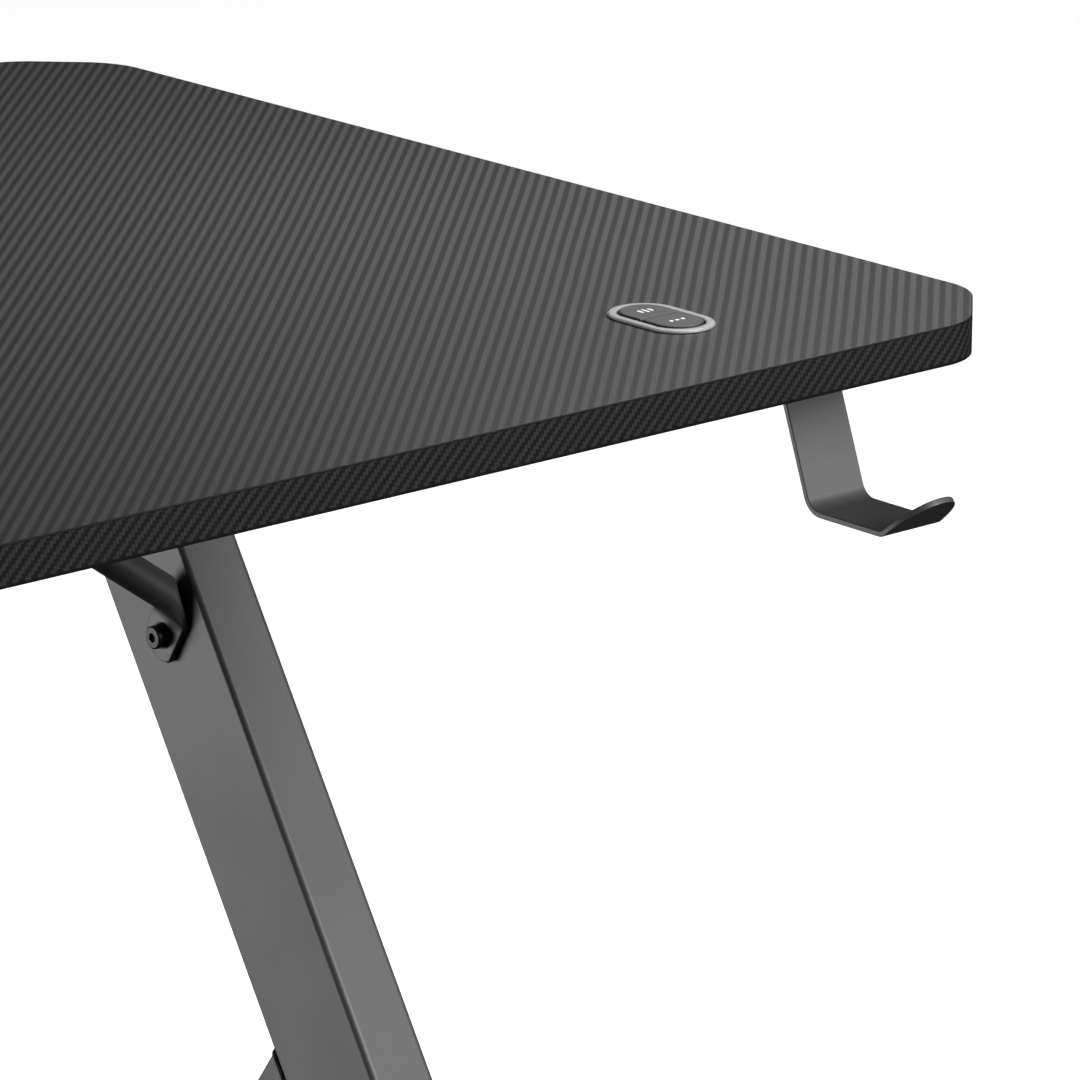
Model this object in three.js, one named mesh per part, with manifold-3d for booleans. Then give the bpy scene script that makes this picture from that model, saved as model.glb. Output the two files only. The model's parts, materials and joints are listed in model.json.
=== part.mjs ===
// Corner desk with carbon-weave boards on three tubular lambda frames.
// Millimetres, +Z up, floor at Z = 0, origin under the middle of the plan.
// The long wing runs along X, the return wing comes forward at the left end.
import * as THREE from 'three';
import { mergeVertices } from 'three/addons/utils/BufferGeometryUtils.js';
import Module from 'manifold-3d';

const wasm = await Module();
wasm.setup();

// ---- driving dimensions ----
const overallWidth = 1520;
const overallDepth = 1110;
const topHeight = 750;
const wingDepth = 600;
const boardThickness = 15;
const userChamfer = 34.3;
const userChamferRadius = 28;
const wallChamfer = 36.5;
const wallChamferRadius = 36;
const innerFilletRadius = 130;
const seamFromRightEnd = 620;
const seamFromFillet = 20;
const seamPlateThickness = 3;
const seamPlateOverlap = 35;
const seamPlateFrom = 60;
const seamPlateTo = 320;

const gap = 0.3;
const wall = 1.5;
const tubeWide = 60;
const tubeNarrow = 30;
const tubeRadius = 3;
const barRadius = 2;
const barInnerRadius = 0.8;
const drillLength = 12;
const legInset = 61;
const mainLean = THREE.MathUtils.degToRad(31.86);
const mainFootFront = 42.6;
const strutLean = THREE.MathUtils.degToRad(35.5);
const strutTopRear = { y: 346.2, z: 377 };
const strutBlankTop = 520;

const topBarSize = 30;
const topBarFrom = 100;
const topBarTo = 575;
const footBarFrom = 12;
const footBarTo = 592;
const footBarBottom = 10;
const footBarHeight = 30;
const footCapThickness = 3;
const footPlugDepth = 10;
const footPlugRadius = 1;
const levelerInset = 34;
const levelerPadRadius = 16;
const levelerPadEdge = 1;
const levelerPadHeight = 3;
const levelerConeHeight = 6;
const levelerConeRadius = 11;
const levelerNutRadius = 6.5;
const studRadius = 4;
const studClearance = 0.5;
const studTop = 34;

const beamWide = 40;
const beamHigh = 20;

const braceRadius = 7.5;
const braceFlat = 3.2;
const braceHalfWidth = 11.8;
const earRadius = 11.8;
// The ear on the leg: distance up the brace, reach towards the user, reach towards the wall.
const earOutline = [
  [-11.35, 1.2, 0.4], [-11.2, 2.9, 1.9], [-10.8, 4.6, 3.6], [-10.2, 6.1, 5.0],
  [-9, 6.9, 6.8], [-7, 7.4, 8.7], [-4.5, 8, 10.1], [-2, 8.7, 10.8],
  [0, 9.25, 11], [3, 10.1, 10.7], [6.5, 11.05, 9.9], [9.4, 11.9, 9.1],
];
const braceForwardPerRun = 0.2;
const braceRisePerRun = 0.698;
const boltHeight = 542.9;
const boltRadius = 3;
const boltHoleRadius = 3.4;
const boltLength = 14;
const boltOffCentre = 2;
const headRadius = 5;
const headHeight = 2.8;
const socketRadius = 2.3;
const socketDepth = 1.8;
const screwChamfer = 0.7;
const flatWasherRadius = 5.7;
const flatWasherThickness = 0.7;
const springWasherRadius = 5.3;
const springWasherThickness = 1.1;
const springWasherSplit = 1;

const hookWidth = 28.5;
const hookThickness = 2.2;
const hookFromRightEnd = 51.2;
const hookLean = THREE.MathUtils.degToRad(19.9);
const hookBendRear = 57.3;
const hookShelfDrop = 73.3;
const hookShelfFront = -1;
const hookLipReach = 16.8;
const hookLipAngle = THREE.MathUtils.degToRad(40);
const hookBaseLength = 40;
const hookKneeRadius = 4;
const hookFootRadius = 8;
const hookLipRadius = 5;
const hookTongueFullness = 2.2;
const hookScrewSetbacks = [14, 30];
const hookScrewHole = 2.3;
const pilotRadius = 1.8;
const pilotDepth = 11;

const moduleFromRightEnd = 119.6;
const moduleFromUser = 74.5;
const bezelWidth = 27.6;
const bezelLength = 45.5;
const bezelProud = 1.4;
const bezelRim = 3.6;
const bezelLap = 2.2;
const collarClearance = 0.5;
const buttonGap = 0.4;
const buttonProud = 2.0;
const buttonThickness = 4.6;

const stripWidth = 12;
const stripHeight = 8;
const stripRadius = 2;
const stripFromWall = 14;
const stripEndMargin = 50;

// ---- derived places ----
const xRight = overallWidth / 2;
const xLeft = -overallWidth / 2;
const yBack = overallDepth / 2;
const yReturnFront = -overallDepth / 2;
const yFront = yBack - wingDepth;
const xInner = xLeft + wingDepth;
const xSeam = xRight - seamFromRightEnd;
const ySeam = yFront - innerFilletRadius - seamFromFillet;
const boardBottom = topHeight - boardThickness;
const legOuter = -legInset;
const legInner = legOuter - tubeNarrow;
const legMiddle = (legOuter + legInner) / 2;
const topBarTop = boardBottom - gap;
const topBarBottom = topBarTop - topBarSize;
const footBarTop = footBarBottom + footBarHeight;
const moduleCentre = new THREE.Vector2(xRight - moduleFromRightEnd, yFront + moduleFromUser);

// ---- materials ----
const finish = (color, roughness, metalness) =>
  new THREE.MeshStandardMaterial({ color, roughness, metalness });
const carbonLaminate = finish(0x4b4c4e, 0.5, 0.0);
const blackPowder = finish(0x2f3032, 0.55, 0.3);
const blackSteel = finish(0x1f2022, 0.4, 0.7);
const blackPlastic = finish(0x232426, 0.6, 0.0);
const silverRim = finish(0xc4c6c8, 0.35, 0.6);
const greyKey = finish(0x66686a, 0.5, 0.0);
const greenBoard = finish(0x1f5a3a, 0.5, 0.0);
const diffuser = finish(0xe8eaec, 0.4, 0.0);

// ---- solids ----
function solid(geometry) {
  const bare = geometry.clone();
  bare.deleteAttribute('normal');
  bare.deleteAttribute('uv');
  const merged = mergeVertices(bare, 1e-4);
  return new wasm.Manifold(new wasm.Mesh({
    numProp: 3,
    vertProperties: new Float32Array(merged.attributes.position.array),
    triVerts: new Uint32Array(merged.index.array),
  }));
}

function toGeometry(manifold) {
  const mesh = manifold.getMesh();
  const geometry = new THREE.BufferGeometry();
  geometry.setAttribute('position', new THREE.BufferAttribute(new Float32Array(mesh.vertProperties), 3));
  geometry.setIndex(new THREE.BufferAttribute(new Uint32Array(mesh.triVerts), 1));
  return geometry;
}

const cut = (geometry, ...tools) =>
  toGeometry(tools.reduce((body, tool) => body.subtract(solid(tool)), solid(geometry)));
const join = (geometry, ...more) =>
  toGeometry(more.reduce((body, other) => body.add(solid(other)), solid(geometry)));
const common = (geometry, tool) => toGeometry(solid(geometry).intersect(solid(tool)));

function mirrorX(geometry) {
  const flipped = geometry.index ? geometry.clone() : mergeVertices(geometry);
  flipped.scale(-1, 1, 1);
  const index = flipped.index.array;
  for (let i = 0; i < index.length; i += 3) {
    [index[i], index[i + 1]] = [index[i + 1], index[i]];
  }
  return flipped;
}

// ---- outlines ----
// A closed outline whose corners are [x, y, radius]; a radius of 0 stays sharp.
function roundedPolygon(corners, segments = 5) {
  const points = [];
  corners.forEach(([x, y, radius = 0], i) => {
    const here = new THREE.Vector2(x, y);
    const before = corners[(i + corners.length - 1) % corners.length];
    const after = corners[(i + 1) % corners.length];
    const toBefore = new THREE.Vector2(before[0] - x, before[1] - y).normalize();
    const toAfter = new THREE.Vector2(after[0] - x, after[1] - y).normalize();
    if (radius === 0) {
      points.push(here);
      return;
    }
    const half = Math.acos(toBefore.dot(toAfter)) / 2;
    const centre = toBefore.clone().add(toAfter).normalize()
      .multiplyScalar(radius / Math.sin(half)).add(here);
    const from = here.clone().addScaledVector(toBefore, radius / Math.tan(half)).sub(centre);
    const to = here.clone().addScaledVector(toAfter, radius / Math.tan(half)).sub(centre);
    let turn = to.angle() - from.angle();
    if (turn > Math.PI) turn -= 2 * Math.PI;
    if (turn < -Math.PI) turn += 2 * Math.PI;
    for (let s = 0; s <= segments; s += 1) {
      const angle = from.angle() + turn * s / segments;
      points.push(new THREE.Vector2(Math.cos(angle), Math.sin(angle)).multiplyScalar(radius).add(centre));
    }
  });
  return points;
}

function rectangle(width, height, radius, segments = 3) {
  const x = width / 2;
  const y = height / 2;
  return roundedPolygon([[-x, -y, radius], [x, -y, radius], [x, y, radius], [-x, y, radius]], segments);
}

// A slot outline with its long axis along Y.
const stadium = (width, length, segments = 8) => rectangle(width, length, width / 2 - 1e-3, segments);

function extrude(outline, height, hole) {
  const shape = new THREE.Shape(outline);
  if (hole) shape.holes.push(new THREE.Path(hole));
  return new THREE.ExtrudeGeometry(shape, { depth: height, bevelEnabled: false });
}

const box = (x0, x1, y0, y1, z0, z1) =>
  new THREE.BoxGeometry(x1 - x0, y1 - y0, z1 - z0).translate((x0 + x1) / 2, (y0 + y1) / 2, (z0 + z1) / 2);

const bar = (radius, length, segments = 16) =>
  new THREE.CylinderGeometry(radius, radius, length, segments).rotateX(Math.PI / 2);

// Turns a profile of [radius, height] pairs about Z.
const turned = (profile, segments = 20) =>
  new THREE.LatheGeometry(profile.map(([r, z]) => new THREE.Vector2(r, z)), segments)
    .rotateX(Math.PI / 2);

function part(name, geometry, material) {
  const mesh = new THREE.Mesh(geometry, material);
  mesh.name = name;
  return mesh;
}

// ---- boards ----
function board(outline, holes = []) {
  const shape = new THREE.Shape(outline);
  holes.forEach((hole) => shape.holes.push(new THREE.Path(hole)));
  return new THREE.ExtrudeGeometry(shape, { depth: boardThickness, bevelEnabled: false })
    .translate(0, 0, boardBottom);
}

function rightBoard() {
  const outline = roundedPolygon([
    [xSeam, yFront],
    [xRight - userChamfer, yFront, userChamferRadius],
    [xRight, yFront + userChamfer, userChamferRadius],
    [xRight, yBack - wallChamfer, wallChamferRadius],
    [xRight - wallChamfer, yBack, wallChamferRadius],
    [xSeam, yBack],
  ], 8);
  const opening = stadium(bezelWidth - 2 * bezelLap, bezelLength - 2 * bezelLap)
    .map((p) => p.add(moduleCentre));
  const pilots = hookScrewPlaces().map(([x, y]) =>
    bar(pilotRadius, 2 * pilotDepth, 10).translate(x, y, boardBottom));
  return part('top_board_right', cut(board(outline, [opening]), ...pilots), carbonLaminate);
}

function cornerBoard() {
  const outline = roundedPolygon([
    [xSeam - gap, yFront],
    [xSeam - gap, yBack],
    [xLeft + wallChamfer, yBack, wallChamferRadius],
    [xLeft, yBack - wallChamfer, wallChamferRadius],
    [xLeft, ySeam],
    [xInner, ySeam],
    [xInner, yFront, innerFilletRadius],
  ], 8);
  return part('top_board_corner', board(outline), carbonLaminate);
}

function returnBoard() {
  const outline = roundedPolygon([
    [xInner, ySeam - gap],
    [xLeft, ySeam - gap],
    [xLeft, yReturnFront + wallChamfer, wallChamferRadius],
    [xLeft + wallChamfer, yReturnFront, wallChamferRadius],
    [xInner - userChamfer, yReturnFront, userChamferRadius],
    [xInner, yReturnFront + userChamfer, userChamferRadius],
  ], 8);
  return part('top_board_return', board(outline), carbonLaminate);
}

// Flat steel plates that hold the boards together under the two seams.
function seamPlates() {
  const top = boardBottom - gap;
  const bottom = top - seamPlateThickness;
  const first = box(xSeam - seamPlateOverlap, xSeam + seamPlateOverlap,
    yFront + seamPlateFrom, yFront + seamPlateTo, bottom, top);
  const second = box(xInner - seamPlateTo, xInner - seamPlateFrom,
    ySeam - seamPlateOverlap, ySeam + seamPlateOverlap, bottom, top);
  return [
    part('seam_plate_main', first, blackPowder),
    part('seam_plate_return', second, blackPowder),
  ];
}

// ---- frames ----
// A frame is drawn for the right end: X = 0 is the end of the board and points
// outwards, Y = 0 is the user's edge and Y grows towards the wall.
const mainFront = (z) => mainFootFront + Math.tan(mainLean) * z;
const mainAcross = tubeWide / Math.cos(mainLean);
const strutAcross = tubeWide / Math.cos(strutLean);
const boltY = mainFront(boltHeight) + mainAcross / 2 - boltOffCentre;

// A rectangular tube that leans in the Y-Z plane and is cut level at both ends.
function leaningTube(lean, across, frontAtZero, zLow, zHigh) {
  const slope = Math.tan(lean);
  const wallAcross = wall / Math.cos(lean);
  const tube = extrude(
    rectangle(tubeNarrow, across, tubeRadius),
    zHigh - zLow,
    rectangle(tubeNarrow - 2 * wall, across - 2 * wallAcross, tubeRadius - wall),
  );
  tube.translate(legMiddle, frontAtZero + across / 2, zLow);
  return tube.applyMatrix4(new THREE.Matrix4().makeShear(0, 0, 0, 0, 0, slope));
}

// The hole for the brace's screw, through one wall at the inner face of the leg.
const legBoltHole = () =>
  bar(boltHoleRadius, drillLength).rotateY(Math.PI / 2).translate(legInner, boltY, boltHeight);

function mainTube() {
  const tube = leaningTube(mainLean, mainAcross, mainFootFront, footBarTop + gap, topBarBottom - gap);
  return cut(tube, legBoltHole());
}

function strutTube() {
  const rearAtZero = strutTopRear.y + Math.tan(strutLean) * strutTopRear.z;
  const frontAtZero = rearAtZero - strutAcross;
  const tube = leaningTube(-strutLean, strutAcross, frontAtZero, footBarTop + gap, strutBlankTop);
  const backAtZero = mainFootFront + mainAcross + gap / Math.cos(mainLean);
  const reach = topHeight;
  const keepOff = box(-reach, reach, backAtZero - reach, backAtZero, 0, reach)
    .applyMatrix4(new THREE.Matrix4().makeShear(0, 0, 0, 0, 0, Math.tan(mainLean)));
  return cut(tube, keepOff);
}

function topBar() {
  const tube = extrude(
    rectangle(topBarSize, topBarSize, barRadius),
    topBarTo - topBarFrom,
    rectangle(topBarSize - 2 * wall, topBarSize - 2 * wall, barInnerRadius),
  );
  return tube.rotateX(-Math.PI / 2).translate(legMiddle, topBarFrom, topBarBottom + topBarSize / 2);
}

function footBar() {
  const tube = extrude(
    rectangle(tubeWide, footBarHeight, tubeRadius),
    footBarTo - footBarFrom,
    rectangle(tubeWide - 2 * wall, footBarHeight - 2 * wall, tubeRadius - wall),
  );
  tube.rotateX(-Math.PI / 2).translate(legMiddle, footBarFrom, footBarBottom + footBarHeight / 2);
  const studHoles = levelerPlaces().map((y) =>
    bar(studRadius + studClearance, drillLength).translate(legMiddle, y, footBarBottom));
  return cut(tube, ...studHoles);
}

const levelerPlaces = () => [footBarFrom + levelerInset, footBarTo - levelerInset];

// A plastic plug: a flange over the end of the foot bar and a body inside it.
function footCap(atRear) {
  const flange = extrude(rectangle(tubeWide, footBarHeight, tubeRadius), footCapThickness);
  const inside = 2 * (wall + gap);
  const body = extrude(rectangle(tubeWide - inside, footBarHeight - inside, footPlugRadius), footPlugDepth)
    .translate(0, 0, footCapThickness / 2);
  const cap = join(flange, body);
  const middle = footBarBottom + footBarHeight / 2;
  if (atRear) {
    return cap.rotateX(Math.PI / 2)
      .translate(legMiddle, footBarTo + gap + footCapThickness, middle);
  }
  return cap.rotateX(-Math.PI / 2)
    .translate(legMiddle, footBarFrom - gap - footCapThickness, middle);
}

// Pad, lock nut and stud are one screwed foot.
function leveler(y) {
  const profile = [
    [0, 0], [levelerPadRadius - levelerPadEdge, 0],
    [levelerPadRadius, levelerPadEdge], [levelerPadRadius, levelerPadHeight],
    [levelerConeRadius, levelerConeHeight], [levelerNutRadius, levelerConeHeight],
    [levelerNutRadius, footBarBottom - gap], [studRadius, footBarBottom - gap],
    [studRadius, studTop], [0, studTop],
  ];
  return turned(profile).translate(legMiddle, y, 0);
}

// ---- brace: a round tube with both ends pressed flat ----
// The brace climbs from an ear on the leg, inwards and a little towards the user,
// to an ear under the beam. Each station has a centre and the two half axes of its section;
// its row of numbers is [along, off the ear's face, turn, half width, half depth, sideways].
function braceStations() {
  const run = new THREE.Vector3(-1, -braceForwardPerRun, braceRisePerRun).normalize();
  const inwards = new THREE.Vector3(-1, 0, 0);
  const level = new THREE.Vector3(run.x, run.y, 0).normalize();
  const up = new THREE.Vector3(0, 0, 1);
  const legUp = new THREE.Vector3(0, run.y, run.z).normalize();
  const legAcross = new THREE.Vector3().crossVectors(inwards, legUp).normalize();
  const beamAcross = new THREE.Vector3().crossVectors(level, up).normalize();
  const bolt = new THREE.Vector3(legInner - gap, boltY, boltHeight);
  const stations = [];
  // A station in the plane of two directions, its section turned from the first to the second.
  const add = (origin, ahead, aside, across, [s, t, turn, halfWidth, halfDepth, sideways = 0]) => {
    const centre = origin.clone()
      .addScaledVector(ahead, s).addScaledVector(aside, t).addScaledVector(across, sideways);
    const deep = aside.clone().multiplyScalar(Math.cos(turn)).addScaledVector(ahead, -Math.sin(turn));
    stations.push({
      centre,
      across: across.clone().multiplyScalar(halfWidth),
      deep: deep.multiplyScalar(halfDepth),
    });
    return centre;
  };
  const roundEnd = [90, 70, 50, 30, 10].map((a) => THREE.MathUtils.degToRad(a));
  const thin = braceFlat / 2;

  const legTurn = Math.acos(run.dot(legUp));
  const onLeg = (station) => add(bolt, legUp, inwards, legAcross, station);
  earOutline.forEach(([s, front, rear]) =>
    onLeg([s, thin, 0, (front + rear) / 2, thin, (rear - front) / 2]));
  onLeg([12.3, 2.7, legTurn * 0.5, 10, 2.2, -1.2]);
  onLeg([16.8, 4.9, legTurn * 0.85, 8.9, 4.4, -0.6]);
  const low = onLeg([23, 7.8, legTurn, braceRadius, braceRadius]);

  const earTop = topBarTop - beamHigh - gap;
  const length = (earTop - 10 - low.z) / run.z;
  const high = low.clone().addScaledVector(run, length);
  const beamTurn = Math.acos(run.dot(level));
  const down = up.clone().negate();
  const onBeam = (station) => add(high, level, down, beamAcross, station);
  const flatAt = high.z - earTop;
  onBeam([0, 0, -beamTurn, braceRadius, braceRadius]);
  onBeam([9, flatAt + 5.6, -beamTurn * 0.7, 9.2, 5.0]);
  onBeam([16, flatAt + 3.0, -beamTurn * 0.3, 11.0, 2.7]);
  onBeam([22, flatAt + thin, 0, braceHalfWidth, thin]);
  const earAt = 36;
  roundEnd.forEach((a) =>
    onBeam([earAt + earRadius * Math.cos(a), flatAt + thin, 0, earRadius * Math.sin(a), thin]));
  const ear = high.clone().addScaledVector(level, earAt).setZ(earTop - thin);
  return { stations, ear };
}

function loft(rings) {
  const count = rings[0].length;
  const points = rings.flat();
  const triangles = [];
  for (let r = 0; r + 1 < rings.length; r += 1) {
    for (let i = 0; i < count; i += 1) {
      const a = r * count + i;
      const b = r * count + (i + 1) % count;
      triangles.push(a, b, a + count, b, b + count, a + count);
    }
  }
  const last = (rings.length - 1) * count;
  for (let i = 1; i + 1 < count; i += 1) {
    triangles.push(0, i + 1, i);
    triangles.push(last, last + i, last + i + 1);
  }
  const geometry = new THREE.BufferGeometry();
  geometry.setAttribute('position', new THREE.Float32BufferAttribute(points.flatMap((p) => p.toArray()), 3));
  geometry.setIndex(triangles);
  return geometry;
}

function braceTube() {
  const sides = 14;
  const squarest = 0.35;
  const squaring = 0.2;
  const { stations, ear } = braceStations();
  const rings = stations.map(({ centre, across, deep }) => {
    const flatness = across.length() / deep.length() - 1;
    const squareness = Math.max(squarest, 1 / (1 + squaring * Math.max(0, flatness)));
    const push = (value) => Math.sign(value) * Math.abs(value) ** squareness;
    return Array.from({ length: sides }, (_, i) => {
      const angle = 2 * Math.PI * (i + 0.5) / sides;
      return centre.clone()
        .addScaledVector(across, push(Math.cos(angle)))
        .addScaledVector(deep, push(Math.sin(angle)));
    });
  });
  const highHole = bar(boltHoleRadius, drillLength).translate(ear.x, ear.y, ear.z);
  return cut(loft(rings), legBoltHole(), highHole);
}

// Screw and washers lie along Z with the underside of the head at 0 and the head above.
function socketScrew() {
  const screw = turned([
    [0, -boltLength], [boltRadius - screwChamfer, -boltLength],
    [boltRadius, screwChamfer - boltLength], [boltRadius, 0],
    [headRadius, 0], [headRadius, headHeight - screwChamfer],
    [headRadius - screwChamfer, headHeight], [0, headHeight],
  ]);
  const socket = bar(socketRadius, 2 * socketDepth, 6).translate(0, 0, headHeight);
  return cut(screw, socket);
}

function washer(outer, thickness) {
  return turned([
    [boltHoleRadius, 0], [outer, 0], [outer, thickness], [boltHoleRadius, thickness],
    [boltHoleRadius, 0],
  ]);
}

function springWasher() {
  const half = springWasherSplit / 2;
  const split = box(0, 2 * springWasherRadius, -half, half, -half, springWasherThickness + half);
  return cut(washer(springWasherRadius, springWasherThickness), split);
}

function braceFixings() {
  const toLeg = (geometry, x) => geometry.rotateY(-Math.PI / 2).translate(x, boltY, boltHeight);
  const earFace = legInner - gap - braceFlat;
  const flatAt = earFace - gap;
  const springAt = flatAt - flatWasherThickness - gap;
  const screwAt = springAt - springWasherThickness - gap;
  const { ear } = braceStations();
  const highScrew = socketScrew().rotateX(Math.PI)
    .translate(ear.x, ear.y, ear.z - braceFlat / 2 - gap);
  return {
    brace_flat_washer: toLeg(washer(flatWasherRadius, flatWasherThickness), flatAt),
    brace_spring_washer: toLeg(springWasher(), springAt),
    brace_low_screw: toLeg(socketScrew(), screwAt),
    brace_high_screw: highScrew,
  };
}

function frame(name, mirrored) {
  const [frontLeveler, rearLeveler] = levelerPlaces();
  const pieces = {
    main_tube: [mainTube(), blackPowder],
    strut: [strutTube(), blackPowder],
    top_bar: [topBar(), blackPowder],
    foot_bar: [footBar(), blackPowder],
    foot_cap_front: [footCap(false), blackPlastic],
    foot_cap_rear: [footCap(true), blackPlastic],
    leveler_front: [leveler(frontLeveler), blackPlastic],
    leveler_rear: [leveler(rearLeveler), blackPlastic],
    brace: [braceTube(), blackPowder],
  };
  for (const [piece, geometry] of Object.entries(braceFixings())) {
    pieces[piece] = [geometry, blackSteel];
  }
  const group = new THREE.Group();
  for (const [piece, [geometry, material]] of Object.entries(pieces)) {
    group.add(part(`${name}_${piece}`, mirrored ? mirrorX(geometry) : geometry, material));
  }
  return group;
}

// ---- beams under the boards ----
function beams() {
  const section = () => [
    rectangle(beamHigh, beamWide, barRadius),
    rectangle(beamHigh - 2 * wall, beamWide - 2 * wall, barInnerRadius),
  ];
  const z = topBarTop - beamHigh / 2;
  const { ear } = braceStations();
  const screwHole = () => bar(boltHoleRadius, drillLength).translate(0, 0, z - beamHigh / 2);
  const mainLength = overallWidth + 2 * (legInner - gap);
  const [outer, inner] = section();
  const main = extrude(outer, mainLength, inner).rotateY(Math.PI / 2)
    .translate(-mainLength / 2, yFront + ear.y, z);
  const mainHoles = [xRight + ear.x, xLeft - ear.x].map((x) => screwHole().translate(x, yFront + ear.y, 0));
  const x = xInner - ear.y;
  const from = yReturnFront - legInner + gap;
  const to = yFront + ear.y - beamWide / 2 - gap;
  const [outer2, inner2] = section();
  const back = extrude(outer2, to - from, inner2).rotateZ(Math.PI / 2).rotateX(-Math.PI / 2)
    .translate(x, from, z);
  const backHole = screwHole().translate(x, yReturnFront - ear.x, 0);
  return [
    part('beam_main', cut(main, ...mainHoles), blackPowder),
    part('beam_return', cut(back, backHole), blackPowder),
  ];
}

// ---- headphone hook under the board ----
const hookMiddle = xRight - hookFromRightEnd - hookWidth / 2;
const hookScrewPlaces = () => hookScrewSetbacks.map((y) => [hookMiddle, yFront + hookBendRear + y]);

// Middle line of the strap in Y (from the user's edge) and Z (down from the board top).
// The lip runs on past its tip, and the plan outline trims it.
function hookLine() {
  const half = hookThickness / 2;
  const top = -boardThickness - gap - half;
  const shelf = -hookShelfDrop + half;
  const footY = hookBendRear + Math.tan(hookLean) * (shelf - top);
  const lipRun = hookLipReach + hookThickness;
  const corners = [
    [hookBendRear + hookBaseLength, top, 0],
    [hookBendRear, top, hookKneeRadius],
    [footY, shelf, hookFootRadius],
    [hookShelfFront, shelf, hookLipRadius],
    [hookShelfFront - lipRun, shelf + lipRun * Math.tan(hookLipAngle), 0],
  ];
  return openBend(corners);
}

// Rounds the inner corners of an open polyline of [x, y, radius].
function openBend(corners, segments = 4) {
  const points = [new THREE.Vector2(corners[0][0], corners[0][1])];
  for (let i = 1; i + 1 < corners.length; i += 1) {
    const triple = [corners[i - 1], corners[i], corners[i + 1]];
    const rounded = roundedPolygon([triple[0].slice(0, 2), triple[1], triple[2].slice(0, 2)], segments);
    points.push(...rounded.slice(1, -1));
  }
  const last = corners[corners.length - 1];
  points.push(new THREE.Vector2(last[0], last[1]));
  return points;
}

// Gives an open line a thickness and closes it into an outline.
function thicken(line, thickness) {
  const side = (sign) => line.map((p, i) => {
    const a = line[Math.max(0, i - 1)];
    const b = line[Math.min(line.length - 1, i + 1)];
    const along = b.clone().sub(a).normalize();
    return new THREE.Vector2(p.x - sign * along.y * thickness / 2, p.y + sign * along.x * thickness / 2);
  });
  return [...side(1), ...side(-1).reverse()];
}

function headphoneHook() {
  const strap = extrude(thicken(hookLine(), hookThickness), hookWidth)
    .rotateX(Math.PI / 2).rotateZ(Math.PI / 2)
    .translate(hookMiddle - hookWidth / 2, yFront, topHeight);
  const half = hookWidth / 2;
  const rear = hookBendRear + hookBaseLength;
  const fuller = (value) => Math.sign(value) * Math.abs(value) ** (2 / hookTongueFullness);
  const steps = 16;
  const tip = Array.from({ length: steps + 1 }, (_, i) => {
    const angle = Math.PI + Math.PI * i / steps;
    return [half * fuller(Math.cos(angle)), hookShelfFront + hookLipReach * fuller(Math.sin(angle))];
  });
  const plan = [...tip, [half, rear], [-half, rear]].map(([x, y]) => new THREE.Vector2(x, y));
  const depth = 2 * hookShelfDrop;
  const trim = extrude(plan, depth).translate(hookMiddle, yFront, topHeight - depth);
  const holes = hookScrewPlaces().map(([x, y]) =>
    bar(hookScrewHole, drillLength).translate(x, y, boardBottom));
  return part('headphone_hook', cut(common(strap, trim), ...holes), blackPowder);
}

// Wood screws with a domed head: the head hangs below 0 and the point is at the top.
function hookScrews() {
  const dome = [[0, -2.4], [2.2, -2.2], [3.6, -1.2], [4, 0]];
  const shank = 1.5;
  const length = 12;
  const driveRadius = 1.3;
  const driveDepth = 1.3;
  return hookScrewPlaces().map(([x, y], i) => {
    const head = boardBottom - gap - hookThickness - gap;
    const screw = turned([...dome, [shank, 0], [shank, length - 1], [0, length]]);
    const drive = bar(driveRadius, 2 * driveDepth, 6).translate(0, 0, dome[0][1]);
    return part(`hook_screw_${i + 1}`, cut(screw, drive).translate(x, y, head), blackSteel);
  });
}

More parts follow.
